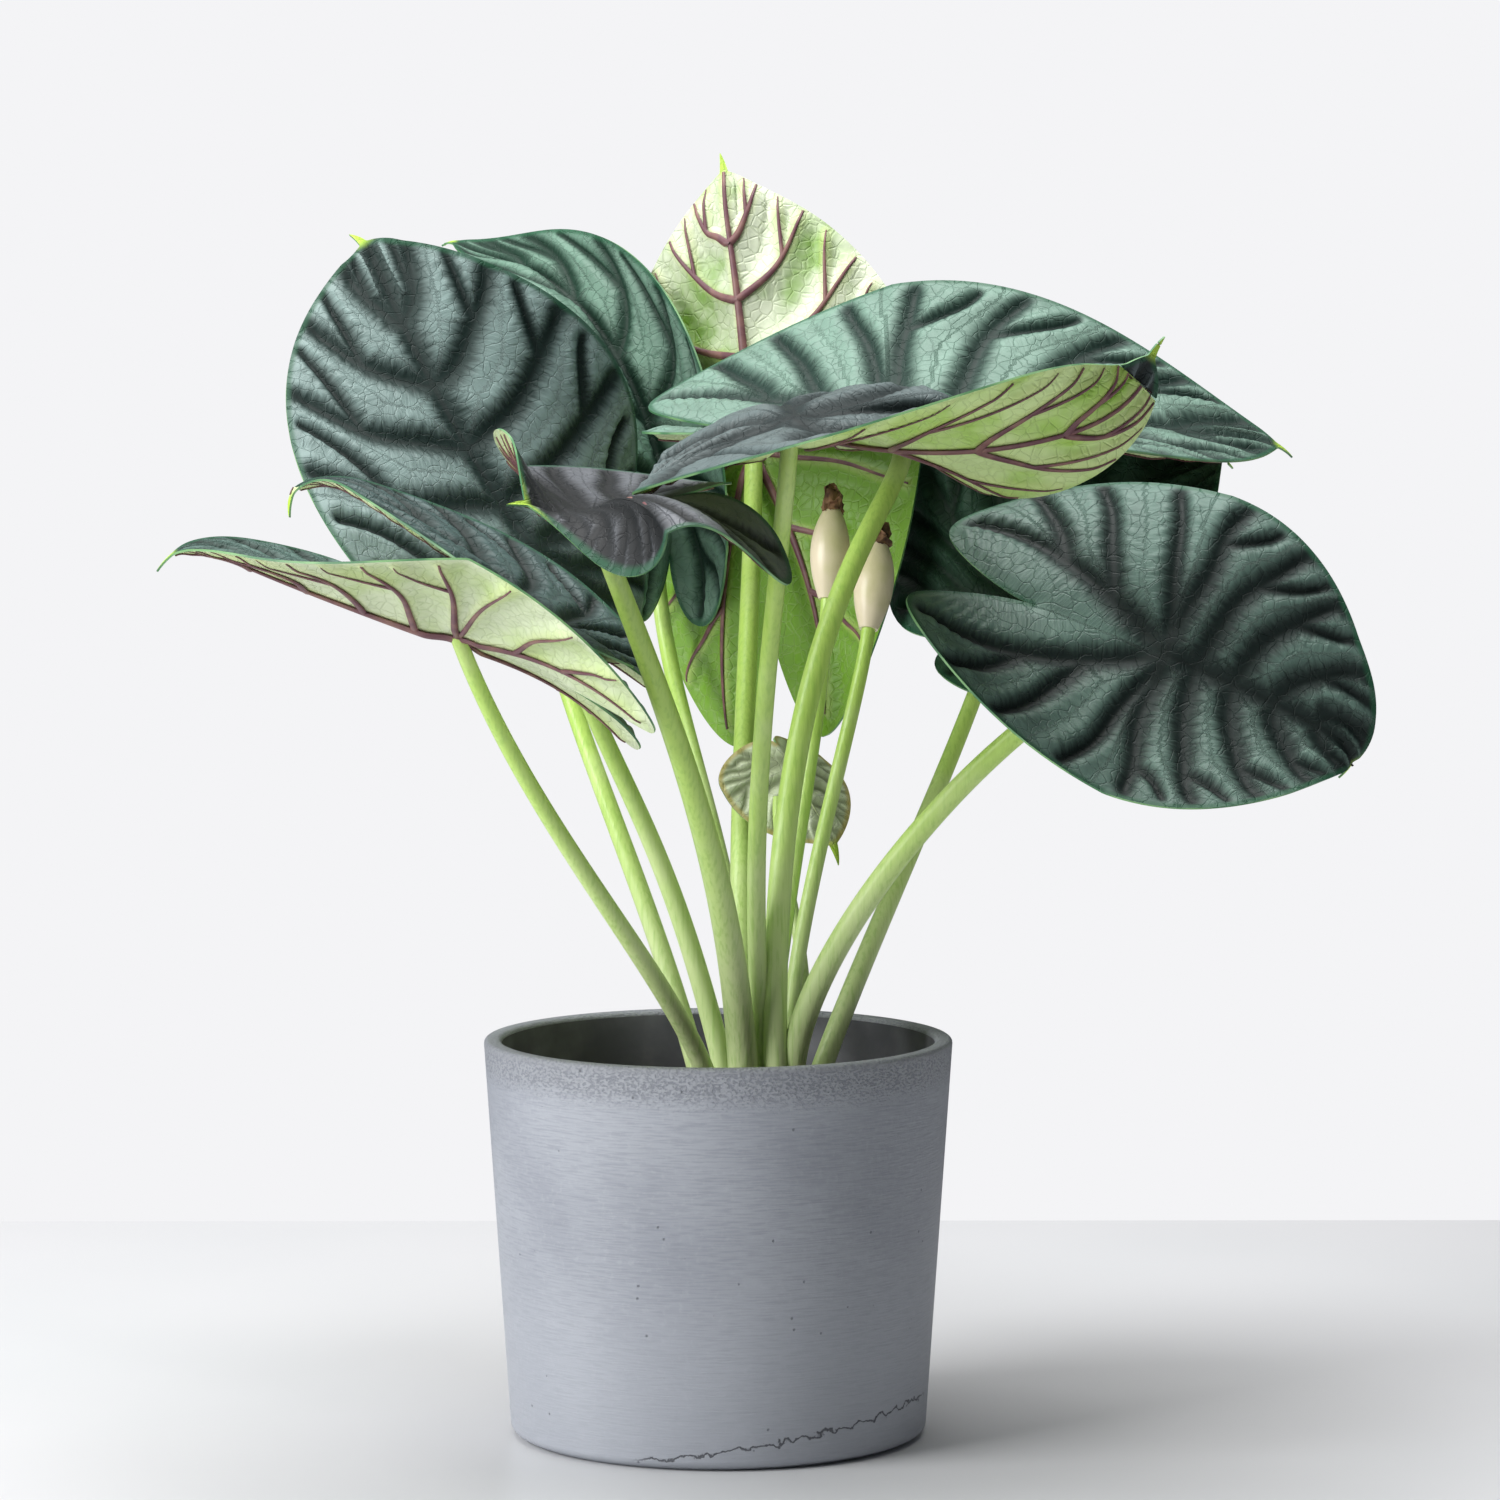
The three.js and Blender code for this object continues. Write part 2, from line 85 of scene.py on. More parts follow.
def add_node(material, kind, settings=None, **inputs):
    node = material.node_tree.nodes.new("ShaderNode" + kind)
    for name, value in (settings or {}).items():
        setattr(node, name, value)
    for name, value in inputs.items():
        feed(material, node.inputs[name.replace("_", " ")], value)
    return node


def calc(material, operation, first, second=0.0):
    node = add_node(material, "Math", {"operation": operation})
    feed(material, node.inputs[0], first)
    feed(material, node.inputs[1], second)
    return node.outputs[0]


def times(material, first, second, third=1.0):
    return calc(material, "MULTIPLY", calc(material, "MULTIPLY", first, second), third)


def fade(material, value, start, end, low=0.0, high=1.0):
    """low where value is start, high where it is end, with a smooth turn between."""
    node = add_node(material, "MapRange", {"interpolation_type": "SMOOTHSTEP"},
                    Value=value, From_Min=start, From_Max=end, To_Min=low, To_Max=high)
    return node.outputs["Result"]


def mix(material, share, first, second):
    node = add_node(material, "Mix", {"data_type": "RGBA"})
    for index, value in ((0, share), (6, first), (7, second)):
        feed(material, node.inputs[index], value)
    return node.outputs[2]


def object_place(material, stretch=(1, 1, 1)):
    place = add_node(material, "TexCoord").outputs["Object"]
    if stretch == (1, 1, 1):
        return place
    return add_node(material, "Mapping", Vector=place, Scale=stretch).outputs["Vector"]


def speckle(material, scale, detail=3.0, stretch=(1, 1, 1)):
    node = add_node(material, "TexNoise", Vector=object_place(material, stretch), Scale=scale, Detail=detail)
    return node.outputs["Fac"]


def attribute(material, name):
    return add_node(material, "Attribute", {"attribute_name": name}).outputs["Fac"]


def set_bump(material, height, distance, strength=1.0):
    bump = add_node(material, "Bump", Height=height, Distance=distance, Strength=strength)
    feed(material, shader_of(material).inputs["Normal"], bump.outputs["Normal"])


def pick_faces(piece, wanted):
    """Selects the faces for which wanted(middle, normal) holds, and goes into edit mode."""
    bpy.ops.object.mode_set(mode="OBJECT")
    for part in (piece.data.vertices, piece.data.edges, piece.data.polygons):
        part.foreach_set("select", [False] * len(part))
    for face in piece.data.polygons:
        face.select = wanted(face.center, face.normal)
    bpy.ops.object.mode_set(mode="EDIT")
    bpy.ops.mesh.select_mode(type="FACE")


def settle(piece):
    """Writes the object's place, turn and scale into its mesh."""
    bpy.ops.object.mode_set(mode="OBJECT")
    bpy.ops.object.select_all(action="DESELECT")
    bpy.context.view_layer.objects.active = piece
    piece.select_set(True)
    bpy.ops.object.transform_apply(location=True, rotation=True, scale=True)


def pot_outside_material():
    material = new_material("pot_outside", 0.6)
    place = add_node(material, "SeparateXYZ", Vector=object_place(material)).outputs
    clouds = speckle(material, 16, 5)
    grain = speckle(material, 520, 4)
    brushed = speckle(material, 1.0, 5, (120, 120, 1700))
    body = mix(material, fade(material, clouds, 0.35, 0.65), paint(146, 150, 159), paint(160, 164, 172))
    body = mix(material, fade(material, brushed, 0.4, 0.7, 0.0, 0.4), body, paint(122, 127, 137))
    body = mix(material, fade(material, grain, 0.5, 0.8, 0.0, 0.22), body, paint(182, 184, 190))
    # Painted light: the wall is painted lighter towards the foot, standing in for light bounced up from the
    # floor.
    low = fade(material, place["Z"], 0.085, 0.012, 0.0, 0.5)
    body = mix(material, low, body, paint(178, 182, 190))
    coarse = speckle(material, 800, 5, (1, 1, 1.6))
    rim = fade(material, calc(material, "ADD", place["Z"], times(material, coarse, 0.012)), 0.1265, 0.1365)
    pits = fade(material, coarse, 0.42, 0.62)
    worn = mix(material, pits, paint(152, 155, 161), paint(112, 116, 124))
    body = mix(material, times(material, rim, 0.7), body, worn)
    edge = fade(material, place["Z"], 0.1325, 0.1345, 0.0, 0.5)
    body = mix(material, edge, body, paint(140, 143, 149))
    jag = times(material, calc(material, "SUBTRACT", speckle(material, 240, 5), 0.5), 0.008)
    course = calc(material, "ADD", calc(material, "ADD", times(material, place["X"], 0.14), 0.0068), jag)
    off_course = calc(material, "ABSOLUTE", calc(material, "SUBTRACT", place["Z"], course))
    front = fade(material, place["Y"], -0.012, -0.025)
    front = times(material, front, fade(material, place["X"], -0.03, -0.022))
    crack = times(material, fade(material, off_course, 0.0006, 0.0002), front)
    body = mix(material, times(material, crack, 0.85), body, paint(62, 64, 70))
    cells = add_node(material, "TexVoronoi", Vector=object_place(material), Scale=230.0)
    hole = fade(material, cells.outputs["Distance"], 0.14, 0.06)
    pinhole = times(material, hole, fade(material, cells.outputs["Color"], 0.74, 0.8))
    body = mix(material, times(material, pinhole, 0.6), body, paint(84, 87, 94))
    feed(material, shader_of(material).inputs["Base Color"], body)
    feed(material, shader_of(material).inputs["Roughness"], fade(material, clouds, 0.3, 0.7, 0.48, 0.64))
    relief = calc(material, "ADD", times(material, brushed, 0.5), times(material, grain, 0.3))
    relief = calc(material, "SUBTRACT", relief, calc(material, "ADD", pinhole, crack))
    relief = calc(material, "SUBTRACT", relief, times(material, rim, pits, 0.8))
    set_bump(material, relief, 0.0003, 0.8)
    return material


# The inner wall: a mottled grey, painted much darker than the outside as painted shade inside the pot.
def inner_wall_painted_shade_material():
    material = new_material("inner_wall_painted_shade", 0.8)
    clouds = speckle(material, 30, 5)
    body = mix(material, fade(material, clouds, 0.35, 0.7), paint(70, 71, 76), paint(106, 107, 112))
    feed(material, shader_of(material).inputs["Base Color"], body)
    set_bump(material, speckle(material, 300, 4), 0.0002, 0.7)
    return material


bpy.ops.object.select_all(action="DESELECT")
bpy.ops.mesh.primitive_cylinder_add(vertices=160, radius=POT_FOOT_RADIUS, depth=POT_HEIGHT,
                                    location=(0, 0, POT_HEIGHT / 2))
pot = bpy.context.object
pot.name = "cover_pot"
settle(pot)
pick_faces(pot, lambda middle, normal: normal.z > 0.9)
widen = POT_RIM_RADIUS / POT_FOOT_RADIUS
bpy.ops.transform.resize(value=(widen, widen, 1), center_override=(0, 0, POT_HEIGHT))
bpy.ops.mesh.inset(thickness=POT_WALL)
bpy.ops.mesh.extrude_region_move(TRANSFORM_OT_translate={"value": (0, 0, POT_FLOOR - POT_HEIGHT)})
narrow = (POT_FOOT_RADIUS - POT_WALL) / (POT_RIM_RADIUS - POT_WALL)
bpy.ops.transform.resize(value=(narrow, narrow, 1), center_override=(0, 0, POT_FLOOR))
pick_faces(pot, lambda middle, normal: normal.z < -0.9)
bpy.ops.mesh.inset(thickness=0.0045)
bpy.ops.object.mode_set(mode="OBJECT")
for vertex in pot.data.vertices:
    if vertex.co.z < 0.0001 and math.hypot(vertex.co.x, vertex.co.y) > POT_FOOT_RADIUS - 0.001:
        vertex.co.z = 0.0022
rounding = pot.modifiers.new("rounding", "BEVEL")
rounding.width = RIM_ROUND
rounding.segments = 4
rounding.limit_method = "ANGLE"
rounding.angle_limit = math.radians(40)
bpy.ops.object.modifier_apply(modifier="rounding")
pot.data.materials.append(pot_outside_material())
pot.data.materials.append(inner_wall_painted_shade_material())
# Faces of the inner wall below the rim take the darker material, which is painted shade.
for face in pot.data.polygons:
    inward = face.normal.x * face.center.x + face.normal.y * face.center.y < 0
    face.material_index = 1 if face.center.z < POT_HEIGHT - 0.004 and inward else 0
bpy.ops.object.shade_smooth_by_angle(angle=math.radians(35))
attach(pot, "root")
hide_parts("pot")

# ---- Soil -----------------------------------------------------------------
# Damp potting mix of peat and bark that fills the pot to a little below the rim. The
# crown sits in its middle, with a few bark chips loose on the surface.

SOIL_RINGS = 22

soil_low, soil_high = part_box("soil")
SOIL_TOP = soil_high[2]
SOIL_RADIUS = (soil_high[0] - soil_low[0]) / 2
WRINKLE_SEED = 1795127200
noise.seed_set(WRINKLE_SEED)


def soil_material():
    material = new_material("potting_mix", 0.9)
    lumps = speckle(material, 180, 6)
    body = mix(material, fade(material, lumps, 0.35, 0.65), paint(38, 30, 25), paint(84, 68, 54))
    feed(material, shader_of(material).inputs["Base Color"], body)
    set_bump(material, speckle(material, 420, 6), 0.0012, 1.0)
    return material


def bark_material():
    material = new_material("bark_chip", 0.85)
    tone = speckle(material, 90, 3)
    body = mix(material, fade(material, tone, 0.4, 0.6), paint(92, 66, 46), paint(150, 118, 86))
    feed(material, shader_of(material).inputs["Base Color"], body)
    set_bump(material, speckle(material, 900, 3), 0.0004, 0.8)
    return material


bpy.ops.object.select_all(action="DESELECT")
bpy.ops.mesh.primitive_cylinder_add(vertices=144, radius=SOIL_RADIUS, depth=SOIL_TOP - soil_low[2],
                                    location=(0, 0, (SOIL_TOP + soil_low[2]) / 2))
soil = bpy.context.object
soil.name = "potting_soil"
settle(soil)
pick_faces(soil, lambda middle, normal: normal.z < -0.9)
shrink = (POT_FOOT_RADIUS - POT_WALL) / SOIL_RADIUS
bpy.ops.transform.resize(value=(shrink, shrink, 1), center_override=(0, 0, soil_low[2]))
pick_faces(soil, lambda middle, normal: normal.z > 0.9)
for ring in range(SOIL_RINGS):
    bpy.ops.mesh.inset(thickness=SOIL_RADIUS / (SOIL_RINGS + 1))
bpy.ops.object.mode_set(mode="OBJECT")
for vertex in soil.data.vertices:
    if vertex.co.z > SOIL_TOP - 0.001:
        reach = math.hypot(vertex.co.x, vertex.co.y) / SOIL_RADIUS
        lump = noise.fractal(vertex.co * 110, 0.9, 2.0, 4)
        vertex.co.z = SOIL_TOP - 0.002 - 0.002 * reach ** 2 + 0.0018 * lump
soil.data.materials.append(soil_material())
bpy.ops.object.shade_smooth_by_angle(angle=math.radians(60))
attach(soil, "root")
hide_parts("soil")

grit = np.random.default_rng(7)
bark = bark_material()
chips = []
for chip in range(150):
    reach = SOIL_RADIUS * 0.96 * math.sqrt(grit.uniform(0.12, 1.0))
    turn = grit.uniform(0, 2 * math.pi)
    size = grit.uniform(0.0015, 0.0042)
    bpy.ops.object.select_all(action="DESELECT")
    bpy.ops.mesh.primitive_ico_sphere_add(subdivisions=1, radius=size, location=(
        min(reach, SOIL_RADIUS - size) * math.cos(turn), min(reach, SOIL_RADIUS - size) * math.sin(turn),
        SOIL_TOP - 0.0022), rotation=tuple(grit.uniform(0, 3, 3)),
        scale=(1, grit.uniform(0.4, 0.9), grit.uniform(0.3, 0.6)))
    chips.append(bpy.context.object)
for chip in chips:
    chip.select_set(True)
bpy.ops.object.join()
chips = bpy.context.object
chips.name = "bark_chips"
settle(chips)
for vertex in chips.data.vertices:
    vertex.co += 0.0006 * Vector(noise.turbulence_vector(vertex.co * 400, 2, False))
chips.data.materials.append(bark)
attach(chips, "root")

# ---- Rhizome --------------------------------------------------------------
# The short, thick, upright stem that every leaf and flower stalk grows from. It is
# brown, ringed by old leaf scars, and stands in the soil with its crown just out of it.

rhizome_low, rhizome_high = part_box("rhizome")


def rhizome_material():
    material = new_material("rhizome_skin", 0.75)
    rings = add_node(material, "TexWave", {"bands_direction": "Z"}, Vector=object_place(material),
                     Scale=70.0, Distortion=4.0, Detail=3.0)
    body = mix(material, rings.outputs["Fac"], paint(86, 66, 44), paint(150, 130, 88))
    feed(material, shader_of(material).inputs["Base Color"], body)
    set_bump(material, rings.outputs["Fac"], 0.0006, 0.8)
    return material


bpy.ops.object.select_all(action="DESELECT")
bpy.ops.mesh.primitive_uv_sphere_add(segments=64, ring_count=40, radius=1)
rhizome = bpy.context.object
rhizome.name = "rhizome_crown"
rhizome.scale = [(high - low) / 2 for low, high in zip(rhizome_low, rhizome_high)]
rhizome.location = [(high + low) / 2 for low, high in zip(rhizome_low, rhizome_high)]
settle(rhizome)
for vertex in rhizome.data.vertices:
    vertex.co += 0.001 * noise.fractal(vertex.co * 80, 1.0, 2.0, 3) * vertex.normal
rhizome.data.materials.append(rhizome_material())
bpy.ops.object.shade_smooth_by_angle(angle=math.radians(60))
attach(rhizome, "root")
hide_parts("rhizome")

# ---- Leaf blades ----------------------------------------------------------
# Eleven arrow-shaped blades, leathery and quilted: silver-green above, with dark bands
# along sunken veins, and pale green below, with raised purple-brown ribs. Each hangs
# from the end of its own petiole and ends in a small hooked drip tip.
# Places are millimetres over the soil, and angles are degrees.

LEAVES = [
    {
        "name": "left_low",
        "at": [-84, -96, 167], "heading": 176, "pitch": 18, "roll": -3,
        "ahead": 98, "behind": 70, "half": 59,
        "droop": -7, "back": 21, "tip": 47, "twist": -49, "sway": 10,
        "fold_left": [18, 37, 51], "fold_right": [-18, 14, -49],
        "curl_left": [0, 0], "curl_right": [0, 0],
        "foot": [-1, -8], "rise": [-5, -9, 38], "arrive": [24, 30, -71],
        "neck": 2.6, "root": 3.6,
    },
    {
        "name": "left_tall",
        "at": [-65, 62, 188], "heading": 165, "pitch": 55, "roll": 3,
        "ahead": 131, "behind": 39, "half": 80,
        "droop": -6, "back": 47, "tip": 5, "twist": -61, "sway": -23,
        "fold_left": [-24, -12, 3], "fold_right": [25, 29, 20],
        "curl_left": [-24, 8], "curl_right": [-34, 15],
        "foot": [-4, 3], "rise": [-18, 6, 75], "arrive": [8, -26, -53],
        "neck": 2.7, "root": 3.6,
    },
    {
        "name": "left_middle",
        "at": [-54, -40, 170], "heading": 145, "pitch": 31, "roll": 42,
        "ahead": 112, "behind": 40, "half": 40,
        "droop": 17, "back": -13, "tip": 89, "twist": -2, "sway": 14,
        "fold_left": [-24, -23, -23], "fold_right": [5, 54, 21],
        "curl_left": [-1, -4], "curl_right": [32, -1],
        "foot": [5, -1], "rise": [-22, -2, 98], "arrive": [20, 31, -63],
        "neck": 2.7, "root": 3.7,
    },
    {
        "name": "front_curled",
        "at": [-41, -100, 207], "heading": 204, "pitch": -5, "roll": -26,
        "ahead": 25, "behind": 55, "half": 64,
        "droop": -39, "back": -18, "tip": 11, "twist": -36, "sway": 4,
        "fold_left": [-41, 85, 44], "fold_right": [-44, -15, -9],
        "curl_left": [12, -95], "curl_right": [30, -11],
        "foot": [9, -11], "rise": [-2, -8, 79], "arrive": [28, 39, -76],
        "neck": 3.0, "root": 5.4,
    },
    {
        "name": "left_back",
        "at": [-20, 157, 208], "heading": 145, "pitch": 76, "roll": -16,
        "ahead": 161, "behind": 49, "half": 34,
        "droop": 87, "back": 39, "tip": -29, "twist": 0, "sway": -2,
        "fold_left": [27, 8, -3], "fold_right": [47, 49, 22],
        "curl_left": [-6, -7], "curl_right": [87, 36],
        "foot": [7, 7], "rise": [12, 60, 70], "arrive": [-15, 45, -70],
        "neck": 2.7, "root": 3.6,
    },
    {
        "name": "centre_back",
        "at": [13, 141, 219], "heading": 289, "pitch": 102, "roll": -49,
        "ahead": 108, "behind": 106, "half": 67,
        "droop": -5, "back": -8, "tip": -26, "twist": -7, "sway": -10,
        "fold_left": [-27, 15, 34], "fold_right": [25, 17, -3],
        "curl_left": [-15, 2], "curl_right": [6, -12],
        "foot": [10, 14], "rise": [-6, 13, 90], "arrive": [-1, -57, -73],
        "neck": 3.3, "root": 3.9,
    },
    {
        "name": "right_front",
        "at": [24, -76, 237], "heading": -59, "pitch": -12, "roll": -34,
        "ahead": 140, "behind": 56, "half": 62,
        "droop": -70, "back": 58, "tip": -45, "twist": -75, "sway": 76,
        "fold_left": [51, 46, 5], "fold_right": [-53, -52, -5],
        "curl_left": [-27, 32], "curl_right": [-19, -8],
        "foot": [17, -5], "rise": [-11, -6, 98], "arrive": [-4, 32, -67],
        "neck": 2.9, "root": 3.3,
    },
    {
        "name": "right_upper",
        "at": [62, 66, 231], "heading": -5, "pitch": 5, "roll": 23,
        "ahead": 138, "behind": 88, "half": 74,
        "droop": 23, "back": -10, "tip": 0, "twist": -25, "sway": 14,
        "fold_left": [-13, 29, 29], "fold_right": [18, 20, -32],
        "curl_left": [5, 16], "curl_right": [12, 19],
        "foot": [20, -12], "rise": [-8, 11, 193], "arrive": [17, -34, -22],
        "neck": 3.3, "root": 4.2,
    },
    {
        "name": "right_low",
        "at": [147, -67, 159], "heading": -11, "pitch": -20, "roll": 34,
        "ahead": 75, "behind": 84, "half": 61,
        "droop": 15, "back": 0, "tip": 67, "twist": -18, "sway": 2,
        "fold_left": [2, 63, 46], "fold_right": [4, -47, -24],
        "curl_left": [-32, -24], "curl_right": [41, 22],
        "foot": [26, -6], "rise": [-12, -8, 49], "arrive": [-40, 42, -4],
        "neck": 3.0, "root": 4.6,
    },
    {
        "name": "right_back",
        "at": [102, 74, 170], "heading": -1, "pitch": 43, "roll": 22,
        "ahead": 96, "behind": 37, "half": 66,
        "droop": 18, "back": -20, "tip": 44, "twist": 16, "sway": 16,
        "fold_left": [10, 48, 37], "fold_right": [13, -4, 9],
        "curl_left": [-10, 27], "curl_right": [-26, -24],
        "foot": [31, 3], "rise": [17, 5, 52], "arrive": [-17, -14, -56],
        "neck": 2.6, "root": 3.8,
    },
    {
        "name": "withered",
        "at": [24, 47, 115], "heading": -36, "pitch": -52, "roll": 16,
        "ahead": 35, "behind": 13, "half": 26,
        "droop": 7, "back": 17, "tip": -3, "twist": 12, "sway": 1,
        "fold_left": [-29, -17, -12], "fold_right": [-22, -30, -28],
        "curl_left": [0, 0], "curl_right": [0, 0],
        "foot": [22, 13], "rise": [22, 4, 46], "arrive": [-15, -15, -27],
        "neck": 1.5, "root": 2.4,
    },
]

MM = 0.001
LEAF_THICKNESS = 0.7
BLADE_SINUS = 0.56
LOBE_CENTRE = 0.4
DRIP_TIP = 7.0
QUILT_HEIGHT = 3.8
VEIN_DEPTH = 1.7
BLADE_ROWS = 190
BLADE_COLUMNS = 58
SOIL_DEPTH_BELOW_RIM = 0.024
GROUND = (POT_HEIGHT - SOIL_DEPTH_BELOW_RIM) / MM

# Each lateral vein leaves the midrib at a share of the blade's length and reaches the
# margin at another; the lobe veins leave the lobe's own rib in the same way.
FRONT_VEINS = [(0.0, 0.08), (0.14, 0.38), (0.32, 0.61), (0.52, 0.80), (0.72, 0.93)]
LOBE_VEINS = [(0.0, 0.20), (0.30, 0.50), (0.55, 0.74)]

# Each blade's colours: the fields between the veins and the bands along them on the upper side, and the
# underside.
# They differ partly by each blade's own tone (the pale centre_back, the dry withered one) and partly by
# painted light
# and shade: blades that hang in shade, such as right_back and left_middle, are painted darker, and the
# withered one is painted brighter than its shade. The underside's second colour is painted light coming
# through the blade.
SILVER_WITH_PAINTED_LIGHT_AND_SHADE = {
    "left_low": (84, 110, 102), "left_tall": (118, 138, 134), "left_middle": (66, 86, 84),
    "front_curled": (100, 103, 108), "left_back": (92, 122, 106), "centre_back": (130, 150, 140),
    "right_front": (92, 104, 104), "right_upper": (108, 136, 122), "right_low": (88, 112, 102),
    "right_back": (44, 76, 58), "withered": (212, 220, 194),
}
BAND_WITH_PAINTED_LIGHT_AND_SHADE = {
    "left_low": (20, 44, 36), "left_tall": (22, 42, 38), "left_middle": (16, 36, 32),
    "front_curled": (24, 27, 29), "left_back": (22, 54, 40), "centre_back": (40, 70, 55),
    "right_front": (26, 38, 38), "right_upper": (20, 46, 38), "right_low": (15, 32, 28),
    "right_back": (16, 46, 28), "withered": (176, 186, 152),
}
UNDER = {
    "right_front": ((196, 218, 150), (150, 192, 70)), "centre_back": ((208, 216, 190), (104, 150, 26)),
    "withered": ((206, 214, 188), (190, 190, 120)),
}


def outer_edge(leaf, a):
    """Half width of the flat blade at a, measured along the midrib from the petiole."""
    front = np.clip(a / leaf["ahead"], 0, 1)
    back = np.clip(-a / leaf["behind"], 0, 1)
    ahead = leaf["half"] * (1 - front ** 2.1) ** 0.86
    behind = leaf["half"] * (LOBE_CENTRE + (1 - LOBE_CENTRE) * np.sqrt(1 - back ** 2.6))
    past = np.clip((a - leaf["ahead"] + DRIP_TIP) / (2 * DRIP_TIP), 0, 1)
    drip = np.where(past > 0, 2.6 * (1 - past) ** 0.8, 0)
    return np.maximum(np.where(a >= 0, ahead, behind), drip)


def inner_edge(leaf, a):
    """Distance of the notch edge from the midrib line, zero where the halves are joined."""
    notch = BLADE_SINUS * leaf["behind"]
    share = np.clip((-notch - a) / (leaf["behind"] - notch), 0, 1)
    return leaf["half"] * LOBE_CENTRE * (1 - np.sqrt(1 - share ** 1.6))


def midrib(leaf, a):
    """Point and direction of the bent midrib at each a."""
    s = np.linspace(-leaf["behind"], leaf["ahead"] + DRIP_TIP, 500)
    ahead = np.clip(s / leaf["ahead"], 0, None)
    back = np.clip(-s / leaf["behind"], 0, None)
    hook = np.clip((ahead - 0.7) / 0.3, 0, 1) ** 2
    past_tip = np.clip((s - leaf["ahead"] + DRIP_TIP) / (2 * DRIP_TIP), 0, 1)
    climb = np.radians(leaf["back"] * back - leaf["droop"] * ahead - leaf["tip"] * hook - 35 * past_tip)
    turn = np.radians(leaf["sway"] * ahead)
    direction = np.stack([np.cos(climb) * np.cos(turn), np.cos(climb) * np.sin(turn), np.sin(climb)], 1)
    step = s[1] - s[0]
    path = np.concatenate([[[0, 0, 0]], np.cumsum((direction[1:] + direction[:-1]) / 2 * step, axis=0)])
    path -= np.array([np.interp(0, s, path[:, i]) for i in range(3)])
    point = np.stack([np.interp(a, s, path[:, i]) for i in range(3)], -1)
    aim = np.stack([np.interp(a, s, direction[:, i]) for i in range(3)], -1)
    return point, aim / np.linalg.norm(aim, axis=-1, keepdims=True)


def bend(leaf, a, b):
    """Bends flat points (a, b) of a blade as part.mjs does, in the blade's own frame."""
    point, aim = midrib(leaf, a)
    t = np.clip((a + leaf["behind"]) / (leaf["ahead"] + leaf["behind"]), 0, 1)
    right = b < 0
    side = np.where(right, -1, 1)
    reach = np.abs(b)

    def fold_of(lobe, middle, tip):
        return lobe * (1 - t) ** 2 + 2 * middle * t * (1 - t) + tip * t * t

    fold = np.radians(np.where(right, fold_of(*leaf["fold_right"]), fold_of(*leaf["fold_left"])))
    curl_right = leaf["curl_right"][0] * (1 - t) + leaf["curl_right"][1] * t
    curl_left = leaf["curl_left"][0] * (1 - t) + leaf["curl_left"][1] * t
    curl = np.radians(np.where(right, curl_right, curl_left)) / leaf["half"]
    curl = np.where(np.abs(curl) < 1e-7, 1e-7, curl)
    out = (np.sin(fold + curl * reach) - np.sin(fold)) / curl
    up = (np.cos(fold) - np.cos(fold + curl * reach)) / curl
    across = np.cross([0.0, 0.0, 1.0], aim)
    across /= np.linalg.norm(across, axis=-1, keepdims=True)
    normal = np.cross(aim, across)
    twist = np.radians(leaf["twist"] * np.clip(a / leaf["ahead"], 0, 1))[..., None]
    turned_across = across * np.cos(twist) + normal * np.sin(twist)
    turned_normal = normal * np.cos(twist) - across * np.sin(twist)
    return point + turned_across * (side * out)[..., None] + turned_normal * up[..., None]


def place_blade(leaf, points):
    """Turns points of the blade's own frame to where the blade joins its petiole."""
    heading, pitch, roll = np.radians([leaf["heading"], leaf["pitch"], leaf["roll"]])
    ahead = np.array([np.cos(heading) * np.cos(pitch), np.sin(heading) * np.cos(pitch), np.sin(pitch)])
    side = np.array([-np.sin(heading), np.cos(heading), 0])
    above = np.cross(ahead, side)
    turned_side = side * np.cos(roll) + above * np.sin(roll)
    turned_above = above * np.cos(roll) - side * np.sin(roll)
    at = np.array(leaf["at"]) + [0, 0, GROUND]
    return at + points @ np.stack([ahead, turned_side, turned_above])


def vein_curve(start, end, ahead_pull, side_pull, wobble, phase):
    """A flat vein from start to end, drawn out along the blade by ahead_pull."""
    t = np.linspace(0, 1, 60)
    middle = np.array(start) + (np.array(end) - start) * [ahead_pull, side_pull]
    line = ((1 - t) ** 2)[:, None] * start + (2 * t * (1 - t))[:, None] * middle + (t * t)[:, None] * end
    line[:, 0] += wobble * np.sin(2 * np.pi * 1.2 * t + phase) * 4 * t * (1 - t)
    return line


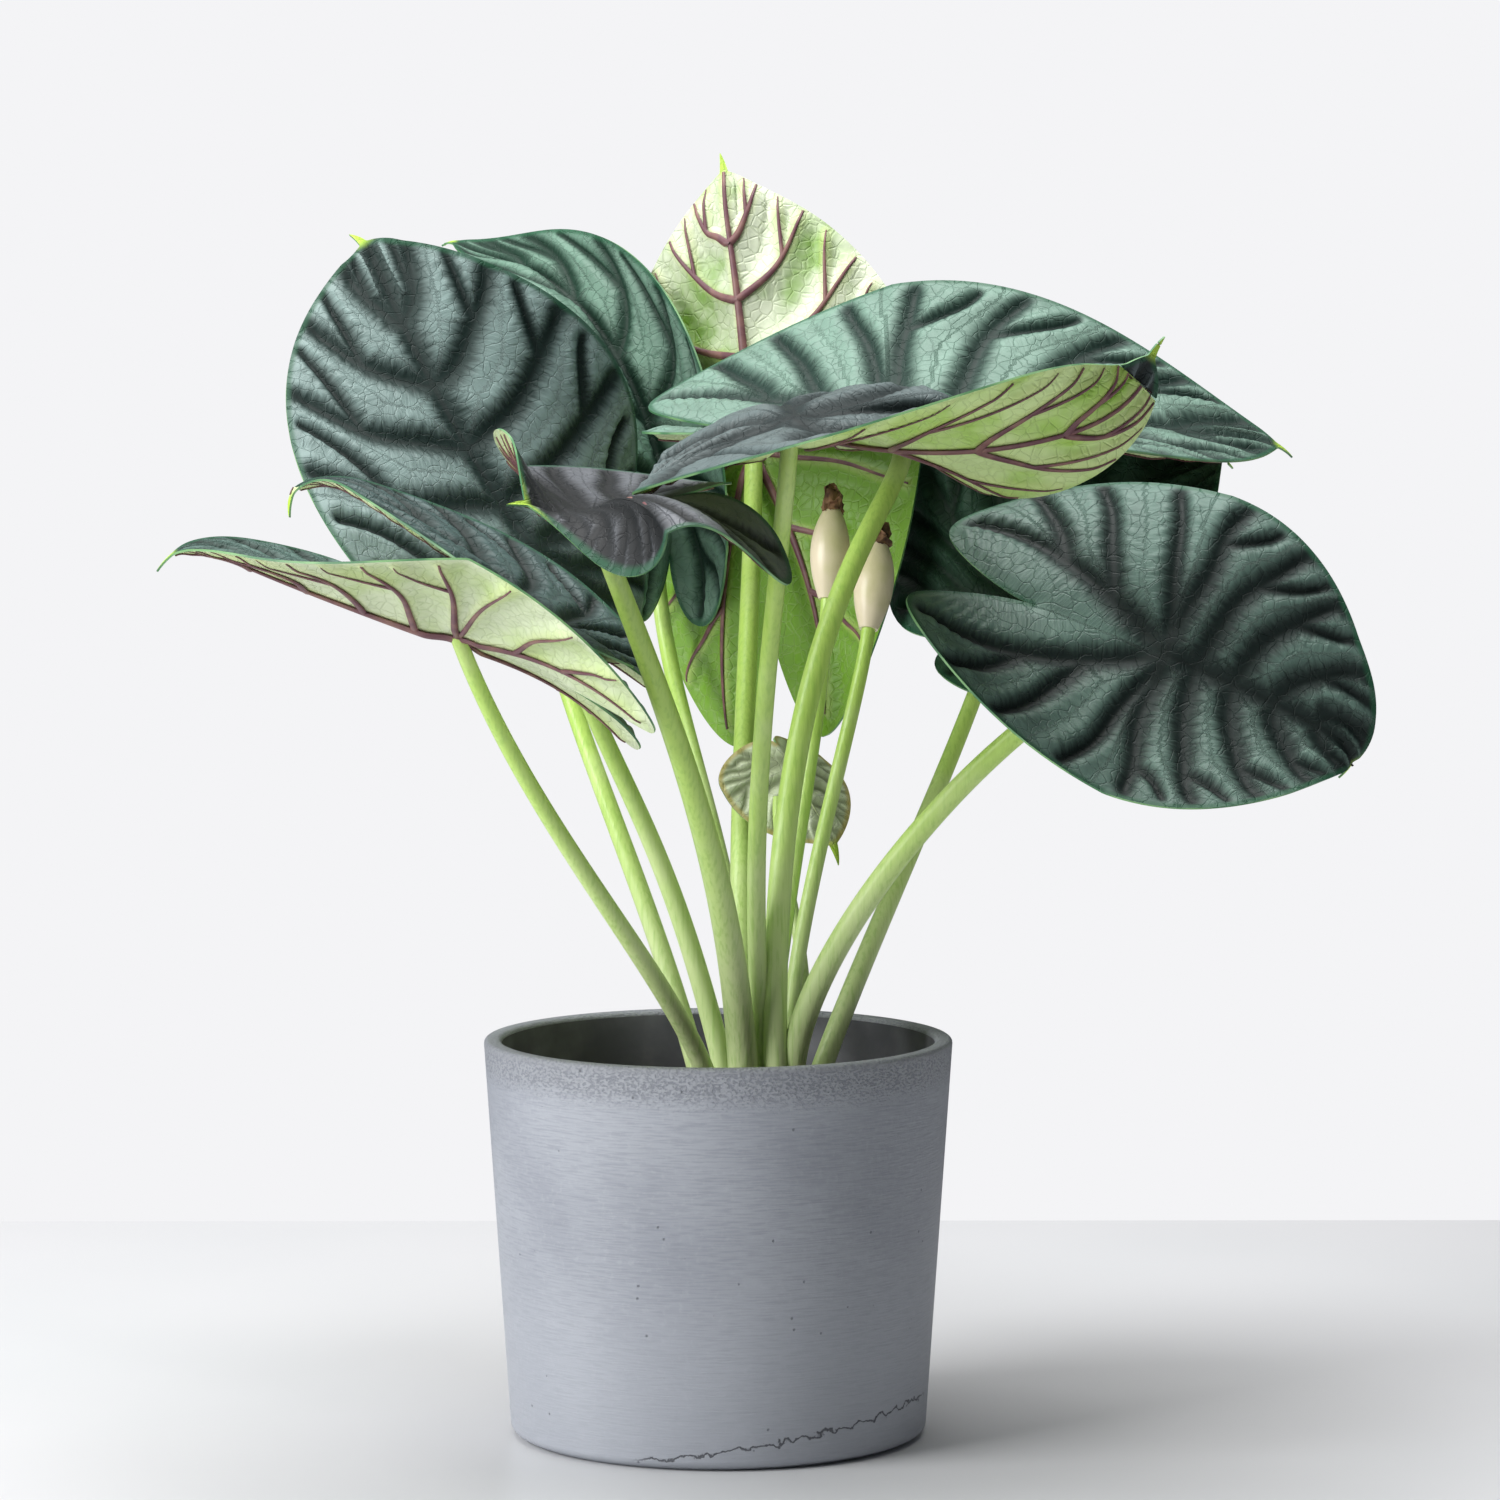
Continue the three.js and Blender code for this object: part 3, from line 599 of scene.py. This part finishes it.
def vein_lines(leaf):
    """The blade's veins: (flat points, half width of the dark band, rib radius)."""
    t = np.linspace(0, 1, 90)
    luck = np.random.default_rng(len(leaf["name"]) + int(leaf["ahead"]))
    ahead, behind, half = leaf["ahead"], leaf["behind"], leaf["half"]
    size = min(half / 60, 1.1)
    lines = [(np.stack([t * ahead * 0.99, 0 * t], 1), 6.4 * size, 1.9 * size)]
    for side in (1, -1):
        flip = np.array([1, side])
        for (start, end), (_, after) in zip(FRONT_VEINS, FRONT_VEINS[1:] + [(0, 0.985)]):
            end += luck.uniform(-0.02, 0.02)
            target = np.array([end * ahead, 0.95 * outer_edge(leaf, np.array(end * ahead))])
            root = np.array([start * ahead, 0.0])
            line = vein_curve(root, target, 0.24, 0.66, luck.uniform(0.4, 1.6), luck.uniform(0, 6))
            lines.append((line * flip, 5.6 * size, 1.4 * size))
            middle = (0.45 * end + 0.55 * after) * ahead
            rim = np.array([middle, 0.93 * outer_edge(leaf, np.array(middle))])
            fork = line[int(luck.uniform(32, 42))]
            branch = vein_curve(fork, rim, 0.75, 0.4, 0.3, luck.uniform(0, 6))
            lines.append((branch * flip, 3.0 * size, 0.75 * size))
        rib_a = -behind * 0.93 * t
        rib_b = LOBE_CENTRE * half * 1.18 * (1 - (1 - t) ** 1.5)
        lines.append((np.stack([rib_a, side * rib_b], 1), 5.2 * size, 1.5 * size))
        for start, end in LOBE_VEINS:
            root = np.array([-behind * 0.93 * start, LOBE_CENTRE * half * 1.18 * (1 - (1 - start) ** 1.5)])
            target = np.array([-end * behind, 0.95 * outer_edge(leaf, np.array(-end * behind))])
            line = vein_curve(root, target, 0.45, 0.6, luck.uniform(0.3, 1.2), luck.uniform(0, 6))
            lines.append((line * flip, 4.4 * size, 1.05 * size))
    return lines


def nearest(points, line):
    """For each flat point, its distance from a line and how far along the line that is."""
    gap = np.full(len(points), np.inf)
    run = np.zeros(len(points))
    steps = np.concatenate([[0], np.cumsum(np.linalg.norm(np.diff(line, axis=0), axis=1))])
    for start, end, before in zip(line[:-1], line[1:], steps):
        span = end - start
        share = np.clip(((points - start) @ span) / max(span @ span, 1e-9), 0, 1)
        distance = np.linalg.norm(points - start - share[:, None] * span, axis=1)
        closer = distance < gap
        gap[closer] = distance[closer]
        run[closer] = before + share[closer] * np.linalg.norm(span)
    return gap, run


def smooth(value, start, end):
    t = np.clip((value - start) / (end - start), 0, 1)
    return t * t * (3 - 2 * t)


def blade_grid(leaf):
    """Flat points and faces of both halves of the blade, joined down the midrib."""
    u = np.linspace(0, 1, BLADE_ROWS)
    length = leaf["ahead"] + DRIP_TIP + leaf["behind"]
    rows = -leaf["behind"] + length * (0.4 * u + 0.6 * (0.5 - 0.5 * np.cos(np.pi * u)))
    share = np.linspace(0, 1, BLADE_COLUMNS + 1)
    inner = inner_edge(leaf, rows)[:, None]
    outer = outer_edge(leaf, rows)[:, None]
    b = inner + (outer - inner) * share
    a = np.repeat(rows[:, None], BLADE_COLUMNS + 1, 1)
    half = np.stack([a, b], -1).reshape(-1, 2)
    flat = np.concatenate([half, half * [1, -1]])
    i, j = np.meshgrid(np.arange(BLADE_ROWS - 1), np.arange(BLADE_COLUMNS), indexing="ij")
    corner = (i * (BLADE_COLUMNS + 1) + j).ravel()
    wide = BLADE_COLUMNS + 1
    left = np.stack([corner, corner + wide, corner + wide + 1, corner + 1], 1)
    right = left[:, ::-1] + len(half)
    return flat, np.concatenate([left, right])


def surface_normals(points, faces):
    normals = np.zeros_like(points)
    a, b, c, d = (points[faces[:, k]] for k in range(4))
    across = np.cross(c - a, d - b)
    for k in range(4):
        np.add.at(normals, faces[:, k], across)
    return normals / np.maximum(np.linalg.norm(normals, axis=1, keepdims=True), 1e-9)


def upper_material(name):
    material = new_material(f"leaf_top_{name}", 0.5)
    gap = attribute(material, "band_gap")
    margin = attribute(material, "margin_gap")
    run = attribute(material, "vein_run")
    along = times(material, run, 0.8)
    away = times(material, attribute(material, "vein_gap"), 0.10)
    beside_vein = add_node(material, "CombineXYZ", X=along, Y=away).outputs[0]
    hairs = add_node(material, "TexNoise", {"noise_dimensions": "2D"}, Vector=beside_vein,
                     Scale=1.0, Detail=3.0).outputs["Fac"]
    fringe = times(material, calc(material, "SUBTRACT", hairs, 0.5), 0.9)
    frayed = calc(material, "ADD", gap, fringe)
    field = fade(material, frayed, 0.4, 2.0)
    silver, band = paint(*SILVER_WITH_PAINTED_LIGHT_AND_SHADE[name]), paint(*BAND_WITH_PAINTED_LIGHT_AND_SHADE[name])
    cloud = speckle(material, 70, 4)
    bright = tuple(min(1, channel * 1.22) for channel in silver[:3]) + (1.0,)
    tone = mix(material, fade(material, cloud, 0.35, 0.7), silver, bright)
    tone = mix(material, field, band, tone)
    tone = mix(material, fade(material, hairs, 0.55, 0.8, 0.0, 0.22), tone, band)
    core = fade(material, attribute(material, "vein_gap"), 1.5, 0.3, 0.0, 0.6)
    tone = mix(material, core, tone, tuple(channel * 0.5 for channel in band[:3]) + (1.0,))
    wavy = add_node(material, "VectorMath", {"operation": "MULTIPLY_ADD"})
    feed(material, wavy.inputs[0], add_node(material, "TexNoise", Vector=object_place(material),
                                            Scale=160.0).outputs["Color"])
    wavy.inputs[1].default_value = (0.003, 0.003, 0.003)
    feed(material, wavy.inputs[2], object_place(material))
    net = add_node(material, "TexVoronoi", {"feature": "DISTANCE_TO_EDGE"}, Vector=wavy.outputs[0],
                   Scale=210.0).outputs["Distance"]
    fine_veins = fade(material, net, 0.06, 0.0)
    tone = mix(material, times(material, fine_veins, 0.2), tone, band)
    rim = paint(186, 168, 92) if name == "withered" else paint(30, 84, 56)
    tone = mix(material, fade(material, margin, 2.4, 0.7, 0.0, 0.75), tone, rim)
    tone = mix(material, attribute(material, "drip_tip"), tone, paint(170, 205, 70))
    feed(material, shader_of(material).inputs["Base Color"], tone)
    feed(material, shader_of(material).inputs["Roughness"], fade(material, field, 0.0, 1.0, 0.62, 0.5))
    shader_of(material).inputs["Specular IOR Level"].default_value = 0.32
    ridges = times(material, hairs, fade(material, gap, 0.2, 1.0, 0.15, 0.8))
    relief = calc(material, "SUBTRACT", ridges,
                  times(material, fine_veins, 0.45))
    set_bump(material, relief, 0.00036, 0.9)
    return material


def under_material(name):
    material = new_material(f"leaf_under_{name}", 0.5)
    pale, lit = UNDER.get(name, ((204, 216, 180), (184, 206, 138)))
    gap = attribute(material, "vein_gap")
    cloud = speckle(material, 45, 4)
    # The lit colour is painted light coming through the blade, laid on in soft patches.
    tone = mix(material, fade(material, cloud, 0.4, 0.75), paint(*pale), paint(*lit))
    # Painted light: centre_back's lower part is painted the bright green of light shining through it.
    if name == "centre_back":
        height = add_node(material, "SeparateXYZ", Vector=object_place(material)).outputs["Z"]
        tone = mix(material, fade(material, height, 0.385, 0.335, 0.0, 0.95), tone, paint(*lit))
    tone = mix(material, fade(material, gap, 3.2, 0.8, 0.0, 0.35), tone, paint(190, 205, 120))
    net = add_node(material, "TexVoronoi", {"feature": "DISTANCE_TO_EDGE"}, Vector=object_place(material),
                   Scale=260.0).outputs["Distance"]
    tone = mix(material, fade(material, net, 0.06, 0.0, 0.0, 0.25), tone, paint(150, 170, 110))
    tone = mix(material, attribute(material, "drip_tip"), tone, paint(170, 205, 70))
    feed(material, shader_of(material).inputs["Base Color"], tone)
    set_bump(material, fade(material, net, 0.0, 0.12), 0.0003, 0.6)
    return material


def margin_material():
    material = new_material("leaf_margin", 0.5)
    cloud = speckle(material, 60, 2)
    tone = mix(material, fade(material, cloud, 0.4, 0.6), paint(120, 165, 110), paint(70, 120, 80))
    feed(material, shader_of(material).inputs["Base Color"], tone)
    return material


def rib_material():
    material = new_material("leaf_rib", 0.5)
    cloud = speckle(material, 120, 3)
    tone = mix(material, fade(material, cloud, 0.4, 0.7), paint(98, 58, 66), paint(128, 92, 84))
    feed(material, shader_of(material).inputs["Base Color"], tone)
    return material


leaf_margin = margin_material()
leaf_rib = rib_material()


def make_mesh(name, points, faces):
    mesh = bpy.data.meshes.new(name)
    mesh.from_pydata([tuple(p) for p in points], [], [tuple(int(v) for v in face) for face in faces])
    piece = bpy.data.objects.new(name, mesh)
    bpy.context.scene.collection.objects.link(piece)
    return piece


def relief_share(leaf):
    """How deep a blade is quilted, from 0 to 1: a short, tightly curled one is shallow."""
    return min(1.0, 0.2 + leaf["ahead"] / 75)


def margin_gap(leaf, flat):
    """Distance in mm of each flat point from the blade's margin or its notch edge."""
    rows = np.linspace(-leaf["behind"], leaf["ahead"] + DRIP_TIP, 160)
    edge = np.stack([rows, outer_edge(leaf, rows)], 1)
    notch = rows[rows < -BLADE_SINUS * leaf["behind"]]
    notch_edge = np.stack([notch, inner_edge(leaf, notch)], 1)
    folded = np.stack([flat[:, 0], np.abs(flat[:, 1])], 1)
    return np.minimum(nearest(folded, edge)[0], nearest(folded, notch_edge)[0])


def rib_tube(leaf, line, radius):
    """A tapering half-sunk rib along one vein, on the underside of the blade."""
    a, b = line[:, 0], line[:, 1]
    centre = place_blade(leaf, bend(leaf, a, b))
    ahead = place_blade(leaf, bend(leaf, a + 0.3, b)) - centre
    side = place_blade(leaf, bend(leaf, a, b + np.where(b < 0, -0.3, 0.3))) - centre
    normal = np.cross(ahead, side * np.where(b < 0, -1, 1)[:, None])
    normal /= np.linalg.norm(normal, axis=1, keepdims=True)
    along = np.gradient(centre, axis=0)
    across = np.cross(normal, along)
    across /= np.linalg.norm(across, axis=1, keepdims=True)
    sides = 8
    share = np.linspace(0, 1, len(line))
    width = radius * (1 - 0.7 * share)
    sunk = VEIN_DEPTH * smooth(margin_gap(leaf, line), 0, 7)
    sunk *= smooth(np.hypot(a, b), 2, 11) * relief_share(leaf)
    sink = sunk + LEAF_THICKNESS / 2 + 0.5 * width
    middle = centre - normal * sink[:, None]
    turns = np.linspace(0, 2 * np.pi, sides, endpoint=False)
    wide, tall = across * width[:, None], normal * 0.55 * width[:, None]
    rings = [middle + wide * np.cos(turn) - tall * np.sin(turn) for turn in turns]
    points = np.stack(rings, 1).reshape(-1, 3)
    faces = []
    for i in range(len(line) - 1):
        for k in range(sides):
            n = (k + 1) % sides
            faces.append((i * sides + k, i * sides + n, (i + 1) * sides + n, (i + 1) * sides + k))
    last = (len(line) - 1) * sides
    faces.append(tuple(range(sides))[::-1])
    faces.append(tuple(last + k for k in range(sides)))
    return points, faces


def make_blade(leaf):
    name = leaf["name"]
    flat, faces = blade_grid(leaf)
    lines = vein_lines(leaf)
    found = [nearest(flat, line[::2]) for line, _, _ in lines]
    gaps = np.array([gap for gap, _ in found])
    order = np.argsort(gaps, axis=0)
    first, second = order[0], order[1]
    here = np.arange(len(flat))
    gap = gaps[first, here]
    next_gap = gaps[second, here]
    run = np.array([run for _, run in found])[first, here]
    length = np.array([np.linalg.norm(np.diff(line, axis=0), axis=1).sum() for line, _, _ in lines])[first]
    band = np.array([width for _, width, _ in lines])[first] * (1 - 0.45 * run / length)
    margin = margin_gap(leaf, flat)
    apart = (next_gap - gap) / np.maximum(next_gap + gap, 1e-6)
    hollow = 1 - np.exp(-(gap / np.maximum(band, 2.5)) ** 2 * 0.8)
    ripple = 0.3 * np.cos(2 * np.pi * (run + 0.6 * gap) / 4.6) * smooth(gap, 1, 4) * smooth(apart, 0, 0.5)
    domed = QUILT_HEIGHT * hollow * (0.75 + 0.25 * smooth(apart, 0, 0.6))
    height = (domed - VEIN_DEPTH + ripple) * smooth(margin, 0, 7)
    height = height * smooth(np.hypot(flat[:, 0], flat[:, 1]), 2, 11) * relief_share(leaf)
    points = place_blade(leaf, bend(leaf, flat[:, 0], flat[:, 1]))
    normals = surface_normals(points, faces)
    joined = np.where(np.abs(flat[:, 1]) < 1e-6)[0]
    mirror = (joined + len(flat) // 2) % len(flat)
    seam = normals[joined] + normals[mirror]
    normals[joined] = seam / np.maximum(np.linalg.norm(seam, axis=1, keepdims=True), 1e-9)
    piece = make_mesh(f"leaf_{name}", (points + normals * height[:, None]) * MM, faces)
    values = {
        "vein_gap": gap,
        "band_gap": gap / band,
        "vein_run": run + 40.0 * first,
        "margin_gap": margin,
        "drip_tip": smooth(flat[:, 0], leaf["ahead"] - 3, leaf["ahead"] + 1),
    }
    for label, column in values.items():
        layer = piece.data.attributes.new(label, "FLOAT", "POINT")
        layer.data.foreach_set("value", column.astype(np.float32))
    bpy.ops.object.select_all(action="DESELECT")
    bpy.context.view_layer.objects.active = piece
    piece.select_set(True)
    bpy.ops.object.mode_set(mode="EDIT")
    bpy.ops.mesh.select_all(action="SELECT")
    bpy.ops.mesh.remove_doubles(threshold=0.00003)
    bpy.ops.object.mode_set(mode="OBJECT")
    for material in (upper_material(name), under_material(name), leaf_margin, leaf_rib):
        piece.data.materials.append(material)
    shell = piece.modifiers.new("thickness", "SOLIDIFY")
    shell.thickness = LEAF_THICKNESS * MM
    shell.offset = 0
    shell.material_offset = 1
    shell.material_offset_rim = 2
    bpy.ops.object.modifier_apply(modifier="thickness")
    ribs = []
    for line, _, radius in lines:
        rib_points, rib_faces = rib_tube(leaf, line, radius)
        rib = make_mesh(f"rib_{name}", rib_points * MM, rib_faces)
        for _ in range(4):
            rib.data.materials.append(leaf_rib)
        rib.data.polygons.foreach_set("material_index", [3] * len(rib.data.polygons))
        ribs.append(rib)
    bpy.ops.object.select_all(action="DESELECT")
    for rib in ribs:
        rib.select_set(True)
    piece.select_set(True)
    bpy.context.view_layer.objects.active = piece
    bpy.ops.object.join()
    bpy.ops.object.shade_smooth_by_angle(angle=math.radians(60))
    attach(piece, "root")
    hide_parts(f"blade_{name}")
    return piece


for leaf in LEAVES:
    make_blade(leaf)

# ---- Petioles and flower stalks -------------------------------------------
# Smooth, juicy, light green stalks that widen and turn paler towards the crown, where
# each one's base clasps the next. The two flower stalks rise among them.

FLOWERS = [
    {"name": "left", "foot": [17, 7], "at": [38, 45, 171], "rise": [2, 4, 58], "arrive": [-3, -17, -54],
     "neck": 2.4, "root": 2.8},
    {"name": "right", "foot": [24, 4], "at": [52, 38, 161], "rise": [-5, 3, 44], "arrive": [-4, -13, -30],
     "neck": 2.4, "root": 2.8},
]


def petiole_material():
    material = new_material("petiole_skin", 0.36)
    height = add_node(material, "SeparateXYZ", Vector=object_place(material)).outputs["Z"]
    streaks = speckle(material, 1.0, 3, (900, 900, 22))
    cloud = speckle(material, 30, 3)
    tone = mix(material, fade(material, height, 0.12, 0.25), paint(208, 226, 164), paint(180, 214, 104))
    tone = mix(material, fade(material, height, 0.24, 0.34, 0.0, 0.6), tone, paint(190, 219, 112))
    tone = mix(material, fade(material, streaks, 0.45, 0.7, 0.0, 0.4), tone, paint(142, 188, 76))
    tone = mix(material, fade(material, cloud, 0.45, 0.7, 0.0, 0.3), tone, paint(224, 234, 184))
    cells = add_node(material, "TexVoronoi", Vector=object_place(material, (1, 1, 0.4)), Scale=260.0)
    fleck = fade(material, cells.outputs["Distance"], 0.16, 0.08)
    fleck = times(material, fleck, fade(material, cells.outputs["Color"], 0.84, 0.9))
    tone = mix(material, times(material, fleck, 0.45), tone, paint(120, 140, 78))
    feed(material, shader_of(material).inputs["Base Color"], tone)
    set_bump(material, streaks, 0.00025, 0.7)
    return material


petiole_skin = petiole_material()


def trim_under_blade(piece, leaf):
    """Flattens the stalk's end against the underside of its own blade."""
    hub, ahead, side, above = (Vector(p) for p in place_blade(leaf, np.array(
        [[0, 0, 0], [1, 0, 0], [0, 1, 0], [0, 0, 1]])))
    side, above = side - hub, above - hub
    t = leaf["behind"] / (leaf["ahead"] + leaf["behind"])
    slopes = []
    for lobe, middle, tip in (leaf["fold_left"], leaf["fold_right"]):
        fold = lobe * (1 - t) ** 2 + 2 * middle * t * (1 - t) + tip * t * t
        slopes.append(math.tan(math.radians(max(-60, min(60, fold)))))
    for vertex in piece.data.vertices:
        place = vertex.co / MM - hub
        if place.length > 14:
            continue
        across = place.dot(side)
        under = abs(across) * (slopes[0] if across > 0 else slopes[1]) - 0.35 - 0.16 * place.length
        vertex.co -= above * max(0, place.dot(above) - under) * MM


def make_stalk(name, stalk, node):
    """One stalk as a tapered round tube on its own curve, foot to tip."""
    foot = Vector((*stalk["foot"], GROUND))
    tip = Vector(stalk["at"]) + Vector((0, 0, GROUND))
    if node.startswith("petiole"):
        tip -= Vector(stalk["arrive"]).normalized()
    bpy.ops.object.select_all(action="DESELECT")
    bpy.ops.curve.primitive_bezier_curve_add()
    piece = bpy.context.object
    piece.name = name
    curve = piece.data
    curve.dimensions = "3D"
    curve.resolution_u = 72
    curve.bevel_depth = MM
    curve.bevel_resolution = 6
    curve.use_fill_caps = True
    start, end = curve.splines[0].bezier_points
    for point in (start, end):
        point.handle_left_type = "FREE"
        point.handle_right_type = "FREE"
    start.co = foot * MM
    start.handle_right = (foot + Vector(stalk["rise"])) * MM
    start.handle_left = (foot - Vector(stalk["rise"])) * MM
    end.co = tip * MM
    end.handle_left = (tip + Vector(stalk["arrive"])) * MM
    end.handle_right = (tip - Vector(stalk["arrive"])) * MM
    start.radius = stalk["root"]
    end.radius = stalk["neck"]
    bpy.ops.object.convert(target="MESH")
    piece.location = (0, 0, 0)
    settle(piece)
    if node.startswith("petiole"):
        trim_under_blade(piece, stalk)
    piece.data.materials.clear()
    piece.data.materials.append(petiole_skin)
    bpy.ops.object.shade_smooth_by_angle(angle=math.radians(50))
    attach(piece, "root")
    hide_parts(node)
    return piece


for leaf in LEAVES:
    make_stalk(f"stalk_{leaf['name']}", leaf, f"petiole_{leaf['name']}")
for flower in FLOWERS:
    make_stalk(f"peduncle_{flower['name']}", flower, f"flower_stalk_{flower['name']}")

# ---- Spathes --------------------------------------------------------------
# Two flower hoods that are still rolled shut: a smooth cream bulb on each stalk, and
# above it the hood's upper part, which has withered to a brown, wrinkled collar.


SPATHE_RADIUS = 6.9
SPATHE_LENGTH = 33
COLLAR_START = 31
COLLAR_END = 40.5


def spathe_material():
    material = new_material("spathe_skin", 0.35)
    cloud = speckle(material, 60, 3)
    tone = mix(material, fade(material, cloud, 0.4, 0.7), paint(226, 212, 186), paint(206, 198, 154))
    feed(material, shader_of(material).inputs["Base Color"], tone)
    set_bump(material, speckle(material, 1.0, 2, (500, 500, 30)), 0.0002, 0.5)
    return material


def dry_material():
    material = new_material("withered_skin", 0.8)
    cloud = speckle(material, 240, 4)
    tone = mix(material, fade(material, cloud, 0.35, 0.65), paint(72, 46, 34), paint(140, 104, 76))
    feed(material, shader_of(material).inputs["Base Color"], tone)
    set_bump(material, cloud, 0.0008, 1.0)
    return material


spathe_skin = spathe_material()
withered_skin = dry_material()


def turned_shape(name, axis_start, axis_end, profile, material):
    """A round piece along an axis from (share of the axis, radius in mm) pairs."""
    axis = axis_end - axis_start
    bpy.ops.object.select_all(action="DESELECT")
    bpy.ops.mesh.primitive_circle_add(vertices=40, radius=profile[0][1] * MM, fill_type="NGON")
    piece = bpy.context.object
    piece.name = name
    bpy.ops.object.mode_set(mode="EDIT")
    bpy.ops.mesh.select_all(action="SELECT")
    for (share, radius), (next_share, next_radius) in zip(profile[:-1], profile[1:]):
        rise = (next_share - share) * axis.length
        bpy.ops.mesh.extrude_region_move(TRANSFORM_OT_translate={"value": (0, 0, rise)})
        grow = next_radius / radius
        bpy.ops.transform.resize(value=(grow, grow, 1), center_override=(0, 0, next_share * axis.length))
    bpy.ops.mesh.select_all(action="SELECT")
    bpy.ops.mesh.normals_make_consistent(inside=False)
    bpy.ops.object.mode_set(mode="OBJECT")
    piece.rotation_mode = "QUATERNION"
    piece.rotation_quaternion = axis.to_track_quat("Z", "Y")
    piece.location = axis_start
    settle(piece)
    piece.data.materials.append(material)
    bpy.ops.object.shade_smooth_by_angle(angle=math.radians(50))
    return piece


for flower in FLOWERS:
    base = (Vector(flower["at"]) + Vector((0, 0, GROUND))) * MM
    lean = -Vector(flower["arrive"]).normalized()
    shut = [(t, SPATHE_RADIUS * math.sin(math.pi * (0.12 + 0.80 * t ** 1.1)) ** 0.75)
            for t in np.linspace(0, 1, 18)]
    hood = turned_shape(f"spathe_bulb_{flower['name']}", base,
                        base + lean * SPATHE_LENGTH * MM, shut, spathe_skin)
    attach(hood, "root")
    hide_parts(f"spathe_{flower['name']}")
    crumple = [(0, 2.9), (0.1, 4.4), (0.25, 3.4), (0.4, 3.9), (0.6, 2.6), (0.8, 2.2), (1, 0.8)]
    tip = turned_shape(f"spathe_collar_{flower['name']}", base + lean * COLLAR_START * MM,
                       base + lean * COLLAR_END * MM, crumple, withered_skin)
    for vertex in tip.data.vertices:
        vertex.co += 0.0024 * Vector(noise.turbulence_vector(vertex.co * 300, 3, False))
    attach(tip, "root")
    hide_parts(f"spathe_tip_{flower['name']}")

# ---- Floor, light and camera ----------------------------------------------
# A plain white table top that ends a little behind the plant, a pale wall colour all
# round, and two broad soft lamps: the key in front on the left, and a wide one above.


def floor_material():
    material = new_material("table_white", 0.35)
    cloud = fade(material, speckle(material, 3, 3), 0.4, 0.7)
    tone = mix(material, cloud, paint(218, 218, 220), paint(214, 215, 217))
    feed(material, shader_of(material).inputs["Base Color"], tone)
    return material


bpy.ops.object.select_all(action="DESELECT")
bpy.ops.mesh.primitive_plane_add(size=1, location=(0, -0.78, 0))
floor = bpy.context.object
floor.name = "table_top"
floor.scale = (4, 2.44, 1)
settle(floor)
floor.data.materials.append(floor_material())

world = bpy.data.worlds.new("pale_wall")
bpy.context.scene.world = world
bpy.context.scene.view_settings.view_transform = "Standard"
world.use_nodes = True
tree = world.node_tree
wall = tree.nodes["Background"]
wall.inputs["Color"].default_value = paint(244, 244, 246)
room = tree.nodes.new("ShaderNodeBackground")
room.inputs["Color"].default_value = paint(236, 240, 246)
room.inputs["Strength"].default_value = 0.12
seen = tree.nodes.new("ShaderNodeLightPath")
either = tree.nodes.new("ShaderNodeMixShader")
tree.links.new(seen.outputs["Is Camera Ray"], either.inputs[0])
tree.links.new(room.outputs[0], either.inputs[1])
tree.links.new(wall.outputs[0], either.inputs[2])
tree.links.new(either.outputs[0], tree.nodes["World Output"].inputs["Surface"])


def soft_lamp(name, place, size, power):
    lamp = bpy.data.lights.new(name, "AREA")
    lamp.size = size
    lamp.energy = power
    holder = bpy.data.objects.new(name, lamp)
    bpy.context.scene.collection.objects.link(holder)
    holder.location = place
    holder.rotation_euler = (Vector((0, 0, 0.25)) - Vector(place)).to_track_quat("-Z", "Y").to_euler()
    return holder


soft_lamp("key_lamp", (-1.8, -1.0, 1.15), 1.3, 58)
soft_lamp("top_lamp", (-0.1, 0.1, 2.0), 1.5, 52)

camera_data = bpy.data.cameras.new("camera")
camera_data.sensor_width = 36
camera_data.lens = 5905 / 1500 * 36
camera = bpy.data.objects.new("camera", camera_data)
bpy.context.scene.collection.objects.link(camera)
camera.location = (0, -2.0, 0.403)
camera.rotation_euler = (math.radians(90 - 4.82), 0, math.radians(-0.31))
bpy.context.scene.camera = camera
